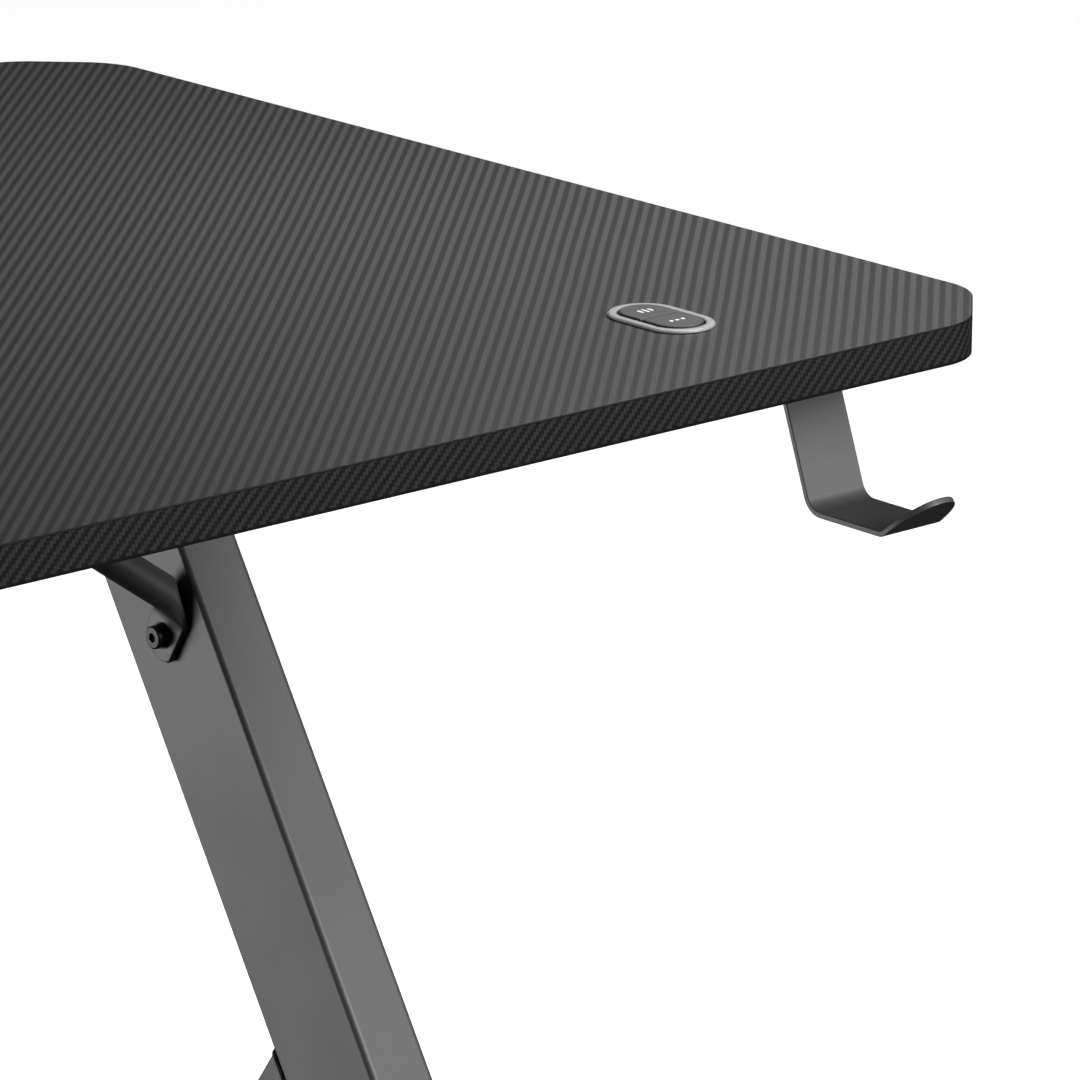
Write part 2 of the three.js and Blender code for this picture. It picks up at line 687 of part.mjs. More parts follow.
// ---- light control in the board ----
// Heights are measured from the board's top face.
function lightControl() {
  const keyWidth = bezelWidth - 2 * bezelRim;
  const keyLength = bezelLength - 2 * bezelRim;
  const collarWidth = bezelWidth - 2 * (bezelLap + collarClearance);
  const collarLength = bezelLength - 2 * (bezelLap + collarClearance);
  const collarBottom = gap - 7.5;
  const place = (geometry) => geometry.translate(moduleCentre.x, moduleCentre.y, topHeight);

  const rim = extrude(stadium(bezelWidth, bezelLength), bezelProud - gap, stadium(keyWidth, keyLength))
    .translate(0, 0, gap);
  const collar = extrude(
    stadium(collarWidth, collarLength),
    bezelProud / 2 - collarBottom,
    stadium(keyWidth, keyLength),
  ).translate(0, 0, collarBottom);
  const bezel = place(join(rim, collar));

  const cupTop = collarBottom - gap;
  const cupBottom = -28.2;
  const cupWall = 1.5;
  const flangeLap = 2;
  const flangeThickness = 3;
  const inletRadius = 3.6;
  const inletZ = cupTop - 14;
  const cup = extrude(stadium(collarWidth, collarLength), cupTop - cupBottom).translate(0, 0, cupBottom);
  const flange = extrude(stadium(bezelWidth + 2 * flangeLap, bezelLength + 2 * flangeLap), flangeThickness)
    .translate(0, 0, -boardThickness - gap - flangeThickness);
  const room = extrude(stadium(collarWidth - 2 * cupWall, collarLength - 2 * cupWall), cupTop - cupBottom)
    .translate(0, 0, cupBottom + cupWall);
  const inletHole = bar(inletRadius, drillLength).rotateX(Math.PI / 2).translate(0, collarLength / 2, inletZ);
  const housing = place(cut(join(cup, flange), room, inletHole));

  const boardInset = cupWall + 0.4;
  const boardThick = 1.6;
  const boardTop = cupTop - 8;
  const domeRadius = 2.6;
  const domeHeight = 2.5;
  const circuit = extrude(stadium(collarWidth - 2 * boardInset, collarLength - 2 * boardInset), boardThick)
    .translate(0, 0, boardTop - boardThick);
  const domes = [-1, 1].map((side) =>
    bar(domeRadius, 2 * domeHeight).translate(0, side * keyLength / 4, boardTop));
  const lid = box(-bezelWidth, bezelWidth, -bezelLength, bezelLength, boardTop - boardThick, 0);
  const switchBoard = place(common(join(circuit, ...domes), lid));

  const jackSize = { x: 9, y: 12, z: 8 };
  const jackBore = 3.2;
  const jackFromCup = 2.2;
  const jack = cut(
    new THREE.BoxGeometry(jackSize.x, jackSize.y, jackSize.z),
    bar(jackBore, jackSize.y).rotateX(Math.PI / 2).translate(0, jackSize.y / 4, 0),
  ).translate(0, collarLength / 2 - cupWall - jackFromCup - jackSize.y / 2, inletZ);

  const stemHalf = 2;
  const stemBottom = boardTop + domeHeight + 1;
  const key = (side) => {
    const pad = extrude(stadium(keyWidth - 2 * buttonGap, keyLength - 2 * buttonGap), buttonThickness);
    const ownHalf = box(-keyWidth, keyWidth, buttonGap / 2, keyLength, 0, buttonThickness);
    const cap = common(pad, ownHalf).translate(0, 0, buttonProud - buttonThickness);
    const stem = box(-stemHalf, stemHalf, keyLength / 4 - stemHalf, keyLength / 4 + stemHalf,
      stemBottom, buttonProud - buttonThickness / 2);
    const whole = join(cap, stem);
    return place(side > 0 ? whole : whole.rotateZ(Math.PI));
  };

  return [
    part('control_bezel', bezel, silverRim),
    part('control_housing', housing, blackPlastic),
    part('control_switch_board', switchBoard, greenBoard),
    part('control_power_inlet', place(jack), blackPlastic),
    part('mode_button', key(1), greyKey),
    part('colour_button', key(-1), greyKey),
  ];
}

// ---- light strips under the wall edges ----
function lightStrips() {
  const half = stripWidth / 2;
  const section = () => roundedPolygon([
    [-half, 0], [half, 0], [half, stripHeight, stripRadius], [-half, stripHeight, stripRadius],
  ]);
  const mainLength = overallWidth - 2 * stripEndMargin;
  const returnLength = overallDepth - 2 * stripEndMargin;
  const main = extrude(section(), mainLength).rotateX(-Math.PI / 2).rotateZ(-Math.PI / 2)
    .translate(-mainLength / 2, yBack - stripFromWall, topBarTop);
  const side = extrude(section(), returnLength).rotateX(-Math.PI / 2)
    .translate(xLeft + stripFromWall, yReturnFront + stripEndMargin, topBarTop);
  return [
    part('light_strip_main', main, diffuser),
    part('light_strip_return', side, diffuser),
  ];
}

// ---- assembly ----
const desk = new THREE.Group();
desk.add(rightBoard(), cornerBoard(), returnBoard(), ...seamPlates(), ...beams());

const rightFrame = frame('right', false);
rightFrame.position.set(xRight, yFront, 0);
const leftFrame = frame('left', true);
leftFrame.position.set(xLeft, yFront, 0);
const returnFrame = frame('return', true);
returnFrame.position.set(xInner, yReturnFront, 0);
returnFrame.rotation.z = Math.PI / 2;
desk.add(rightFrame, leftFrame, returnFrame);

desk.add(headphoneHook(), ...hookScrews(), ...lightControl(), ...lightStrips());

export default desk;
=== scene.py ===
import json
import math

import bmesh
import bpy
from mathutils import Matrix, Vector
from mathutils.geometry import tessellate_polygon


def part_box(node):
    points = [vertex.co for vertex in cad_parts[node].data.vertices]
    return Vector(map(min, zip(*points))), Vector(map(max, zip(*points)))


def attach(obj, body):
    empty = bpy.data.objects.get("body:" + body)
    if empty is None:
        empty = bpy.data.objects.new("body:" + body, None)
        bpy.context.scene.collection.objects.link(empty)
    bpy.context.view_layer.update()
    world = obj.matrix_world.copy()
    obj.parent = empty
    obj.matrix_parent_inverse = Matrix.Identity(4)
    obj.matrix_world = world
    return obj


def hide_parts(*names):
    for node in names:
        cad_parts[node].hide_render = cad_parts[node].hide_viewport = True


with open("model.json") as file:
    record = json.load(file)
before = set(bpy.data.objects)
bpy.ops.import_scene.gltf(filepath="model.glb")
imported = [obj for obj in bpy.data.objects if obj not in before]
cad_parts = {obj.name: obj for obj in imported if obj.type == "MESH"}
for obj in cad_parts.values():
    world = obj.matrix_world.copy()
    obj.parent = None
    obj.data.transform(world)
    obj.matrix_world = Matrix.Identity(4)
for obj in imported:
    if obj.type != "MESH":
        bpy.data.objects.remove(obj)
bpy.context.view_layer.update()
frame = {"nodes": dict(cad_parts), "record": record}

# Shapes are drawn in millimetres, in the frame of the CAD model, and scaled when a mesh is made.
MM = 0.001

# ---- camera ----
CAMERA_PLACE = (-0.74083, -1.50650, 1.28588)
CAMERA_TILT = 73.306
CAMERA_TURN = -40.741
CAMERA_LENS = 195.35

# ---- dimensions shared with the CAD model ----
BOARD = 15.0
GAP = 0.3
WALL = 1.5
ARRIS_LOW = 0.5
ARRIS_TOP = 0.5
# How far the dark band runs up from the lower arris: glue line and painted shade where the edge turns under.
GLUE_AND_SHADE_LOW = 0.8
GLUE_TOP = 0.25
TWILL_CELL = 1.25
STRIPE_PITCH = 4.42
USER_CHAMFER = 34.3
USER_CHAMFER_RADIUS = 28.0
WALL_CHAMFER = 36.5
CHAMFER_RADIUS = 36.0
INNER_FILLET = 130.0

TUBE_WIDE = 60.0
TUBE_NARROW = 30.0
TUBE_RADIUS = 3.0
LEG_INSET = 61.0
MAIN_LEAN = math.radians(31.86)
MAIN_FOOT_FRONT = 42.6
STRUT_LEAN = math.radians(35.5)
STRUT_TOP_Y = 346.2
STRUT_TOP_Z = 377.0
TOP_BAR = 30.0
TOP_BAR_FROM = 100.0
TOP_BAR_TO = 575.0
FOOT_FROM = 12.0
FOOT_TO = 592.0
FOOT_BOTTOM = 10.0
FOOT_HEIGHT = 30.0
CAP_THICKNESS = 3.0
LEVELER_INSET = 34.0
STUD_HOLE = 4.5
BEAM_HIGH = 20.0

BRACE_RADIUS = 7.5
BRACE_FLAT = 3.2
BRACE_HALF_WIDTH = 11.8
EAR_RADIUS = 11.8
BRACE_FORWARD = 0.2
BRACE_RISE = 0.698
BOLT_HEIGHT = 542.9
BOLT_OFF_CENTRE = 2.0
BOLT_HOLE = 3.4
BOLT_LENGTH = 14.0
HEAD_RADIUS = 5.0
HEAD_HEIGHT = 2.8
SOCKET_FLATS = 4.0
SOCKET_DEPTH = 1.8
FLAT_WASHER = 0.7
SPRING_WASHER = 1.1

HOOK_WIDTH = 28.5
HOOK_THICK = 2.2
HOOK_FROM_RIGHT = 51.2
HOOK_LEAN = math.radians(19.9)
HOOK_BEND_REAR = 57.3
HOOK_SHELF_DROP = 73.3
HOOK_SHELF_FRONT = -1.0
HOOK_LIP_REACH = 16.8
HOOK_LIP_ANGLE = math.radians(40)
HOOK_BASE = 40.0
HOOK_BENDS = (4.0, 8.0, 5.0)
HOOK_SCREW_SETBACKS = (14, 30)
HOOK_SCREW_HOLE = 2.3
TONGUE = 2.2

BEZEL_WIDTH = 27.6
BEZEL_LENGTH = 45.5
BEZEL_PROUD = 1.4
BEZEL_RIM = 3.6
BEZEL_LAP = 2.2
COLLAR_INSET = 2.7
COLLAR_DEPTH = 7.5
KEY_GAP = 0.4
KEY_PROUD = 2.0
KEY_THICK = 4.6
STEM_BOTTOM = -12.0

# ---- places read from the CAD boxes ----
box_right = [corner * 1000 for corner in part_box("top_board_right")]
box_corner = [corner * 1000 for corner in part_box("top_board_corner")]
box_return = [corner * 1000 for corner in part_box("top_board_return")]
box_bezel = [corner * 1000 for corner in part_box("control_bezel")]
X_RIGHT = box_right[1].x
X_SEAM = box_right[0].x
Y_FRONT = box_right[0].y
Y_BACK = box_right[1].y
X_LEFT = box_corner[0].x
Y_SEAM = box_corner[0].y
X_INNER = box_return[1].x
Y_RETURN_FRONT = box_return[0].y
TOP = box_right[1].z
BOARD_BOTTOM = TOP - BOARD
LEG_INNER = -LEG_INSET - TUBE_NARROW
LEG_MIDDLE = -LEG_INSET - TUBE_NARROW / 2
TOP_BAR_TOP = BOARD_BOTTOM - GAP
TOP_BAR_BOTTOM = TOP_BAR_TOP - TOP_BAR
FOOT_TOP = FOOT_BOTTOM + FOOT_HEIGHT
MODULE = ((box_bezel[0].x + box_bezel[1].x) / 2, (box_bezel[0].y + box_bezel[1].y) / 2)


# ---- node materials ----
class Nodes:
    """A small wrapper that builds one material's node tree."""

    def __init__(self, name):
        self.material = bpy.data.materials.new(name)
        self.material.use_nodes = True
        self.tree = self.material.node_tree
        self.shader = self.tree.nodes["Principled BSDF"]
        self.coordinates = self.add("ShaderNodeTexCoord").outputs["Object"]

    def add(self, kind, **settings):
        node = self.tree.nodes.new(kind)
        for key, value in settings.items():
            setattr(node, key, value)
        return node

    def plug(self, value, socket):
        if isinstance(value, bpy.types.NodeSocket):
            self.tree.links.new(value, socket)
        else:
            socket.default_value = value

    def math(self, operation, a, b=0.0, c=0.0):
        node = self.add("ShaderNodeMath", operation=operation)
        for value, socket in zip((a, b, c), node.inputs):
            self.plug(value, socket)
        return node.outputs[0]

    def dot(self, direction, source=None):
        node = self.add("ShaderNodeVectorMath", operation="DOT_PRODUCT")
        self.plug(source or self.coordinates, node.inputs[0])
        node.inputs[1].default_value = direction
        return node.outputs["Value"]

    def wave(self, along, period, phase=0.0):
        """A sine of the distance along a direction, with that period in metres."""
        turns = self.math("MULTIPLY_ADD", along, 2 * math.pi / period, phase)
        return self.math("SINE", turns)

    def noise(self, size, detail=2.0, roughness=0.5, vector=None):
        """Noise whose grains measure about size metres."""
        node = self.add("ShaderNodeTexNoise")
        self.plug(vector or self.coordinates, node.inputs["Vector"])
        node.inputs["Scale"].default_value = 1 / size
        node.inputs["Detail"].default_value = detail
        node.inputs["Roughness"].default_value = roughness
        return node.outputs["Fac"]

    def spread(self, value, low, high, to_low, to_high, smooth=False):
        node = self.add("ShaderNodeMapRange")
        node.interpolation_type = "SMOOTHSTEP" if smooth else "LINEAR"
        self.plug(value, node.inputs["Value"])
        for key, number in zip(("From Min", "From Max", "To Min", "To Max"), (low, high, to_low, to_high)):
            self.plug(number, node.inputs[key])
        return node.outputs["Result"]

    def mix(self, factor, a, b):
        node = self.add("ShaderNodeMix", data_type="RGBA")
        self.plug(factor, node.inputs["Factor"])
        self.plug(colour(a) if isinstance(a, tuple) else a, node.inputs[6])
        self.plug(colour(b) if isinstance(b, tuple) else b, node.inputs[7])
        return node.outputs[2]

    def bump(self, height, distance, strength=1.0, normal=None):
        node = self.add("ShaderNodeBump")
        self.plug(height, node.inputs["Height"])
        node.inputs["Distance"].default_value = distance
        node.inputs["Strength"].default_value = strength
        if normal is not None:
            self.plug(normal, node.inputs["Normal"])
        return node.outputs["Normal"]

    def finish(self, **sockets):
        names = {"base": "Base Color", "roughness": "Roughness", "metallic": "Metallic", "normal": "Normal",
                 "specular": "Specular IOR Level", "coat": "Coat Weight", "coat_roughness": "Coat Roughness",
                 "subsurface": "Subsurface Weight"}
        for key, value in sockets.items():
            self.plug(value, self.shader.inputs[names[key]])
        return self.material


def colour(rgb):
    return (*rgb, 1.0)


def grey(value, tint=0.0):
    """A near-neutral colour; a positive tint makes it a little bluer."""
    return (value * (1 - tint), value, value * (1 + tint))


def laminate_top():
    """Printed foil: soft light and dark stripes along the diagonal, with faint threads."""
    n = Nodes("carbon_laminate_top")
    diagonal = math.sqrt(0.5)
    across = n.dot((diagonal, -diagonal, 0))
    along = n.dot((diagonal, diagonal, 0))
    wander = n.spread(n.noise(0.09, 1.0), 0.3, 0.7, -0.00012, 0.00012)
    stripe = n.spread(n.wave(n.math("ADD", across, wander), STRIPE_PITCH * MM), -0.5, 0.5, 0, 1, smooth=True)
    weft = n.wave(along, 0.0011)
    patches = n.spread(n.noise(0.0075, 1.0), 0.56, 0.68, 0, 1, smooth=True)
    dashes = n.math("MULTIPLY", weft, patches)
    thread = n.wave(across, 0.00037)
    cloud = n.noise(0.16, 2.0)
    shade = n.mix(stripe, grey(0.0205), grey(0.0530))
    shade = n.mix(n.spread(dashes, -1, 1, 0, 0.16), shade, grey(0.075))
    shade = n.mix(n.spread(thread, -1, 1, 0, 0.07), shade, grey(0.012))
    shade = n.mix(n.spread(cloud, 0.3, 0.7, 0, 0.08), shade, grey(0.03))
    roughness = n.math("MULTIPLY_ADD", stripe, -0.05, 0.50)
    height = n.math("ADD", stripe, n.math("MULTIPLY", dashes, 0.5))
    normal = n.bump(height, 0.00002, 0.5)
    normal = n.bump(n.noise(0.0006, 2.0), 0.00001, 0.3, normal)
    return n.finish(base=shade, roughness=roughness, normal=normal, specular=0.12)


def laminate_edge():
    """Edge band: a fine 2 x 2 twill, drawn along the band and up it from the mesh's own lengths."""
    n = Nodes("carbon_laminate_edge")
    run = n.add("ShaderNodeUVMap", uv_map="lengths").outputs["UV"]
    cell = TWILL_CELL * MM
    warp_at = n.math("DIVIDE", n.dot((1, 0, 0), run), cell)
    weft_at = n.math("DIVIDE", n.dot((0, 1, 0), run), cell)
    step = n.math("SUBTRACT", n.math("FLOOR", warp_at), n.math("FLOOR", weft_at))
    over = n.math("LESS_THAN", n.math("FLOORED_MODULO", step, 4.0), 2.0)
    round_warp = n.math("ABSOLUTE", n.math("SINE", n.math("MULTIPLY", warp_at, math.pi)))
    round_weft = n.math("ABSOLUTE", n.math("SINE", n.math("MULTIPLY", weft_at, math.pi)))
    yarn = n.add("ShaderNodeMix", data_type="FLOAT")
    n.plug(over, yarn.inputs[0])
    n.plug(round_weft, yarn.inputs[2])
    n.plug(round_warp, yarn.inputs[3])
    height = n.math("MULTIPLY_ADD", over, 0.6, n.math("MULTIPLY", yarn.outputs[0], 0.5))
    crown = n.math("MULTIPLY_ADD", yarn.outputs[0], 0.45, 0.55)
    shade = n.mix(n.math("MULTIPLY", over, crown), grey(0.0040), grey(0.029))
    shade = n.mix(n.spread(n.noise(0.0012, 2.0), 0.35, 0.7, 0, 0.35), shade, grey(0.009))
    up = n.dot((0, 1, 0), run)
    # Dark bands next to the arrises: a glue line below the top one; above the lower one, the glue line and
    # painted shade where the edge turns under.
    glue_and_shade_low = n.math("LESS_THAN", up, (BOARD_BOTTOM + ARRIS_LOW + GLUE_AND_SHADE_LOW) * MM)
    glue_top = n.math("GREATER_THAN", up, (TOP - ARRIS_TOP - GLUE_TOP) * MM)
    shade = n.mix(n.math("MAXIMUM", glue_and_shade_low, glue_top), shade, grey(0.0015))
    normal = n.bump(height, 0.00005, 0.6)
    roughness = n.math("MULTIPLY_ADD", over, -0.06, 0.56)
    return n.finish(base=shade, roughness=roughness, normal=normal, specular=0.12)


def glue_and_shade_line():
    """The dark glue line where the edge band meets the foils; on the lower arris, which faces down, the dark
    is also painted shade.
    """
    n = Nodes("carbon_laminate_glue_and_shade")
    grain = n.noise(0.0005, 2.0)
    shade = n.mix(n.spread(grain, 0.3, 0.7, 0, 1), grey(0.003), grey(0.008))
    return n.finish(base=shade, roughness=n.spread(grain, 0.3, 0.7, 0.6, 0.7), specular=0.15)


def laminate_under():
    """Backing foil: plain charcoal with a faint print grain and a fine emboss."""
    n = Nodes("carbon_laminate_under")
    grain = n.noise(0.0009, 3.0, 0.6)
    cloud = n.noise(0.12, 2.0)
    shade = n.mix(n.spread(grain, 0.3, 0.7, 0, 1), grey(0.017), grey(0.030))
    shade = n.mix(n.spread(cloud, 0.3, 0.7, 0, 0.3), shade, grey(0.022))
    return n.finish(base=shade, roughness=n.spread(cloud, 0.3, 0.7, 0.56, 0.64),
                    normal=n.bump(grain, 0.00004, 0.4), specular=0.35)


def powder_coat():
    """Satin black powder coat: fine grains on a slight orange peel."""
    n = Nodes("black_powder")
    grains = n.noise(0.00042, 2.0, 0.55)
    peel = n.noise(0.0032, 1.0)
    cloud = n.noise(0.07, 2.0)
    shade = n.mix(n.spread(grains, 0.35, 0.68, 0, 1), grey(0.040, 0.01), grey(0.062, 0.01))
    shade = n.mix(n.spread(cloud, 0.3, 0.7, 0, 0.25), shade, grey(0.046, 0.01))
    roughness = n.spread(n.math("ADD", grains, cloud), 0.7, 1.3, 0.42, 0.50)
    normal = n.bump(peel, 0.00003, 0.25)
    normal = n.bump(grains, 0.000012, 0.4, normal)
    return n.finish(base=shade, roughness=roughness, normal=normal, specular=0.55)


def steel():
    """Blackened screws and washers: dark oxide with fine turning marks and rubbed specks."""
    n = Nodes("black_steel")
    marks = n.noise(0.00025, 3.0, 0.6)
    specks = n.spread(n.noise(0.0011, 3.0, 0.7), 0.62, 0.72, 0, 1, smooth=True)
    shade = n.mix(specks, grey(0.022, 0.02), grey(0.050, 0.02))
    roughness = n.spread(marks, 0.3, 0.7, 0.34, 0.48)
    return n.finish(base=shade, roughness=roughness, metallic=0.55, normal=n.bump(marks, 0.00001, 0.4))


def black_plastic():
    """Moulded plastic with a spark-eroded grain."""
    n = Nodes("black_plastic")
    grain = n.noise(0.0006, 2.0, 0.5)
    fine = n.noise(0.00018, 2.0)
    shade = n.mix(n.spread(grain, 0.35, 0.7, 0, 1), grey(0.014), grey(0.024))
    roughness = n.spread(grain, 0.3, 0.7, 0.52, 0.66)
    normal = n.bump(n.math("MULTIPLY_ADD", fine, 0.3, grain), 0.00004, 0.5)
    return n.finish(base=shade, roughness=roughness, normal=normal, specular=0.45)


def silver_paint():
    """Satin silver: metal flakes under a thin clear coat."""
    n = Nodes("silver_rim")
    flakes = n.noise(0.00012, 1.0)
    drift = n.noise(0.006, 2.0)
    shade = n.mix(n.spread(flakes, 0.35, 0.65, 0, 1), grey(0.20), grey(0.27))
    shade = n.mix(n.spread(drift, 0.3, 0.7, 0, 0.2), shade, grey(0.23))
    return n.finish(base=shade, roughness=n.spread(flakes, 0.3, 0.7, 0.46, 0.56), metallic=0.3,
                    normal=n.bump(flakes, 0.000006, 0.4), coat=0.15, coat_roughness=0.3)


def key_plastic():
    """Matt grey keys with a very fine moulded grain."""
    n = Nodes("grey_key")
    grain = n.noise(0.00028, 2.0, 0.5)
    drift = n.noise(0.008, 2.0)
    shade = n.mix(n.spread(grain, 0.35, 0.68, 0, 1), grey(0.036), grey(0.050))
    shade = n.mix(n.spread(drift, 0.3, 0.7, 0, 0.2), shade, grey(0.042))
    return n.finish(base=shade, roughness=n.spread(grain, 0.3, 0.7, 0.48, 0.58),
                    normal=n.bump(grain, 0.00001, 0.4), specular=0.4)


def key_print():
    """The pale ink of the pictograms, slightly uneven."""
    n = Nodes("key_print")
    ink = n.noise(0.0002, 2.0)
    shade = n.mix(n.spread(ink, 0.35, 0.7, 0, 1), grey(0.62), grey(0.78))
    return n.finish(base=shade, roughness=n.spread(ink, 0.3, 0.7, 0.5, 0.6))


def solder_mask():
    """Green circuit board with a faint pattern of tracks under the lacquer."""
    n = Nodes("circuit_board")
    weave = n.wave(n.dot((1, 0, 0)), 0.0024)
    tracks = n.spread(weave, 0.6, 0.8, 0, 1, smooth=True)
    grain = n.noise(0.0007, 2.0)
    shade = n.mix(tracks, (0.010, 0.085, 0.035), (0.022, 0.150, 0.062))
    shade = n.mix(n.spread(grain, 0.3, 0.7, 0, 0.3), shade, (0.012, 0.075, 0.03))
    roughness = n.spread(grain, 0.3, 0.7, 0.3, 0.42)
    return n.finish(base=shade, roughness=roughness, normal=n.bump(tracks, 0.00004, 0.5))


def milky():
    """Milky extruded diffuser with faint draw lines along it."""
    n = Nodes("diffuser")
    lines = n.noise(0.0008, 2.0)
    cloud = n.noise(0.03, 2.0)
    shade = n.mix(n.spread(cloud, 0.3, 0.7, 0, 1), (0.74, 0.76, 0.78), (0.82, 0.83, 0.85))
    roughness = n.spread(lines, 0.3, 0.7, 0.36, 0.5)
    return n.finish(base=shade, roughness=roughness, normal=n.bump(lines, 0.00002, 0.3), subsurface=0.15)


TOP_FOIL = laminate_top()
EDGE_FOIL = laminate_edge()
UNDER_FOIL = laminate_under()
GLUE_AND_SHADE_LINE = glue_and_shade_line()
POWDER = powder_coat()
STEEL = steel()
PLASTIC = black_plastic()
SILVER = silver_paint()
KEY = key_plastic()
PRINT = key_print()
GREEN = solder_mask()
MILKY = milky()
BY_SLOT = {
    "carbon_laminate": UNDER_FOIL, "black_powder": POWDER, "black_steel": STEEL, "black_plastic": PLASTIC,
    "silver_rim": SILVER, "grey_key": KEY, "circuit_board": GREEN, "diffuser": MILKY,
}


# ---- outlines, as lists of (x, y) ----
def rounded_polygon(corners, segments=8):
    """A closed outline whose corners are (x, y, radius); a radius of 0 stays sharp."""
    points = []
    for i, (x, y, radius) in enumerate(corners):
        here = Vector((x, y))
        if radius == 0:
            points.append(here)
            continue
        before = Vector(corners[i - 1][:2])
        after = Vector(corners[(i + 1) % len(corners)][:2])
        to_before = (before - here).normalized()
        to_after = (after - here).normalized()
        half = to_before.angle(to_after) / 2
        centre = here + (to_before + to_after).normalized() * radius / math.sin(half)
        start = here + to_before * radius / math.tan(half) - centre
        end = here + to_after * radius / math.tan(half) - centre
        first = math.atan2(start.y, start.x)
        turn = math.atan2(end.y, end.x) - first
        turn = (turn + math.pi) % (2 * math.pi) - math.pi
        for s in range(segments + 1):
            angle = first + turn * s / segments
            points.append(centre + Vector((math.cos(angle), math.sin(angle))) * radius)
    return points


def rectangle(width, height, radius, segments=6):
    x, y = width / 2, height / 2
    return rounded_polygon([(-x, -y, radius), (x, -y, radius), (x, y, radius), (-x, y, radius)], segments)


def stadium(width, length, segments=16):
    return rectangle(width, length, width / 2 - 0.001, segments)


def moved(outline, x, y):
    return [p + Vector((x, y)) for p in outline]


def inset(outline, distance):
    """The outline, which runs counterclockwise, moved inwards with mitred corners."""
    result = []
    for i, here in enumerate(outline):
        ahead = (outline[(i + 1) % len(outline)] - here).normalized()
        behind = (here - outline[i - 1]).normalized()
        a = Vector((-behind.y, behind.x))
        b = Vector((-ahead.y, ahead.x))
        result.append(here + (a + b) / (1 + a.dot(b)) * distance)
    return result


# ---- shells: a list of points and a list of (corner indices, material number, lengths) ----
def at_height(outline, z):
    return [Vector((p.x, p.y, z)) for p in outline]


def bridge(rings, closed=False):
    """Joins rings of equal length. Closed rings make a hoop; otherwise the ends get caps."""
    count = len(rings[0])
    points = [p for ring in rings for p in ring]
    faces = []
    for r in range(len(rings) - (0 if closed else 1)):
        low = r * count
        high = (r + 1) % len(rings) * count
        for i in range(count):
            j = (i + 1) % count
            faces.append(((low + i, low + j, high + j, high + i), 0, None))
    if not closed:
        last = (len(rings) - 1) * count
        faces.append((tuple(reversed(range(count))), 0, None))
        faces.append((tuple(range(last, last + count)), 0, None))
    return points, faces


def arris_profile(z0, z1, low, high, steps=3):
    """(inset, height) pairs up the side of a slab whose arrises are rounded by low and high."""
    profile = []
    for radius, base, sign in ((low, z0, 1), (high, z1, -1)):
        turn = []
        if radius == 0:
            turn.append((0.0, base))
        else:
            for k in range(steps + 1):
                a = math.pi / 2 * k / steps
                turn.append((radius * (1 - math.sin(a)), base + sign * radius * (1 - math.cos(a))))
        profile += turn if sign == 1 else turn[::-1]
    return profile


def slab(outline, z0, z1, low=0.5, high=0.5, steps=3):
    """A plate of that outline with rounded arrises."""
    return bridge([at_height(inset(outline, d), z) for d, z in arris_profile(z0, z1, low, high, steps)])


def turned(profile, segments=40):
    """Turns (radius, height) pairs about Z. A profile that starts and ends on the axis is closed there."""
    on_axis = profile[0][0] == 0
    inner = profile[1:-1] if on_axis else profile
    rings = []
    for radius, z in inner:
        angles = [2 * math.pi * i / segments for i in range(segments)]
        rings.append([Vector((radius * math.cos(a), radius * math.sin(a), z)) for a in angles])
    return bridge(rings, closed=not on_axis)


def placed(shell, matrix):
    return [matrix @ Vector(p) for p in shell[0]], shell[1]


def shift(x, y, z):
    return Matrix.Translation((x, y, z))


def turn_about(axis, degrees):
    return Matrix.Rotation(math.radians(degrees), 4, axis)


# ---- pieces ----
def piece(name, shells, materials, slot, nodes=(), body="root", sharp=50, weighted=True):
    """One object from closed shells in millimetres, riding its body and standing for its CAD nodes."""
    bm = bmesh.new()
    lengths = bm.loops.layers.uv.new("lengths")
    for points, faces in shells:
        verts = [bm.verts.new(Vector(p) * MM) for p in points]
        for indices, number, coordinates in faces:
            face = bm.faces.new([verts[i] for i in indices])
            face.material_index = number
            face.smooth = True
            if coordinates:
                for loop, pair in zip(face.loops, coordinates):
                    loop[lengths].uv = pair
    bmesh.ops.recalc_face_normals(bm, faces=bm.faces)
    mesh = bpy.data.meshes.new(name)
    bm.to_mesh(mesh)
    bm.free()
    for material in materials:
        mesh.materials.append(material)
    mesh.set_sharp_from_angle(angle=math.radians(sharp))
    obj = bpy.data.objects.new(name, mesh)
    bpy.context.scene.collection.objects.link(obj)
    if weighted:
        modifier = obj.modifiers.new("flat_faces", "WEIGHTED_NORMAL")
        modifier.keep_sharp = True
    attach(obj, body)
    if nodes:
        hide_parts(*nodes)
    return obj


def carve(obj, cutters, sharp=50):
    """Cuts closed shells out of a piece and keeps the result as its mesh."""
    bm = bmesh.new()
    for points, faces in cutters:
        verts = [bm.verts.new(Vector(p) * MM) for p in points]
        for indices, _, _ in faces:
            bm.faces.new([verts[i] for i in indices])
    bmesh.ops.recalc_face_normals(bm, faces=bm.faces)
    mesh = bpy.data.meshes.new("cutter")
    bm.to_mesh(mesh)
    bm.free()
    tool = bpy.data.objects.new("cutter", mesh)
    bpy.context.scene.collection.objects.link(tool)
    modifier = obj.modifiers.new("carve", "BOOLEAN")
    modifier.operation = "DIFFERENCE"
    modifier.solver = "EXACT"
    modifier.object = tool
    others = [m for m in obj.modifiers if m != modifier]
    for other in others:
        other.show_viewport = False
    graph = bpy.context.evaluated_depsgraph_get()
    result = bpy.data.meshes.new_from_object(obj.evaluated_get(graph))
    obj.modifiers.remove(modifier)
    for other in others:
        other.show_viewport = True
    obj.data = result
    result.polygons.foreach_set("use_smooth", [True] * len(result.polygons))
    result.set_sharp_from_angle(angle=math.radians(sharp))
    bpy.data.objects.remove(tool)
    return obj


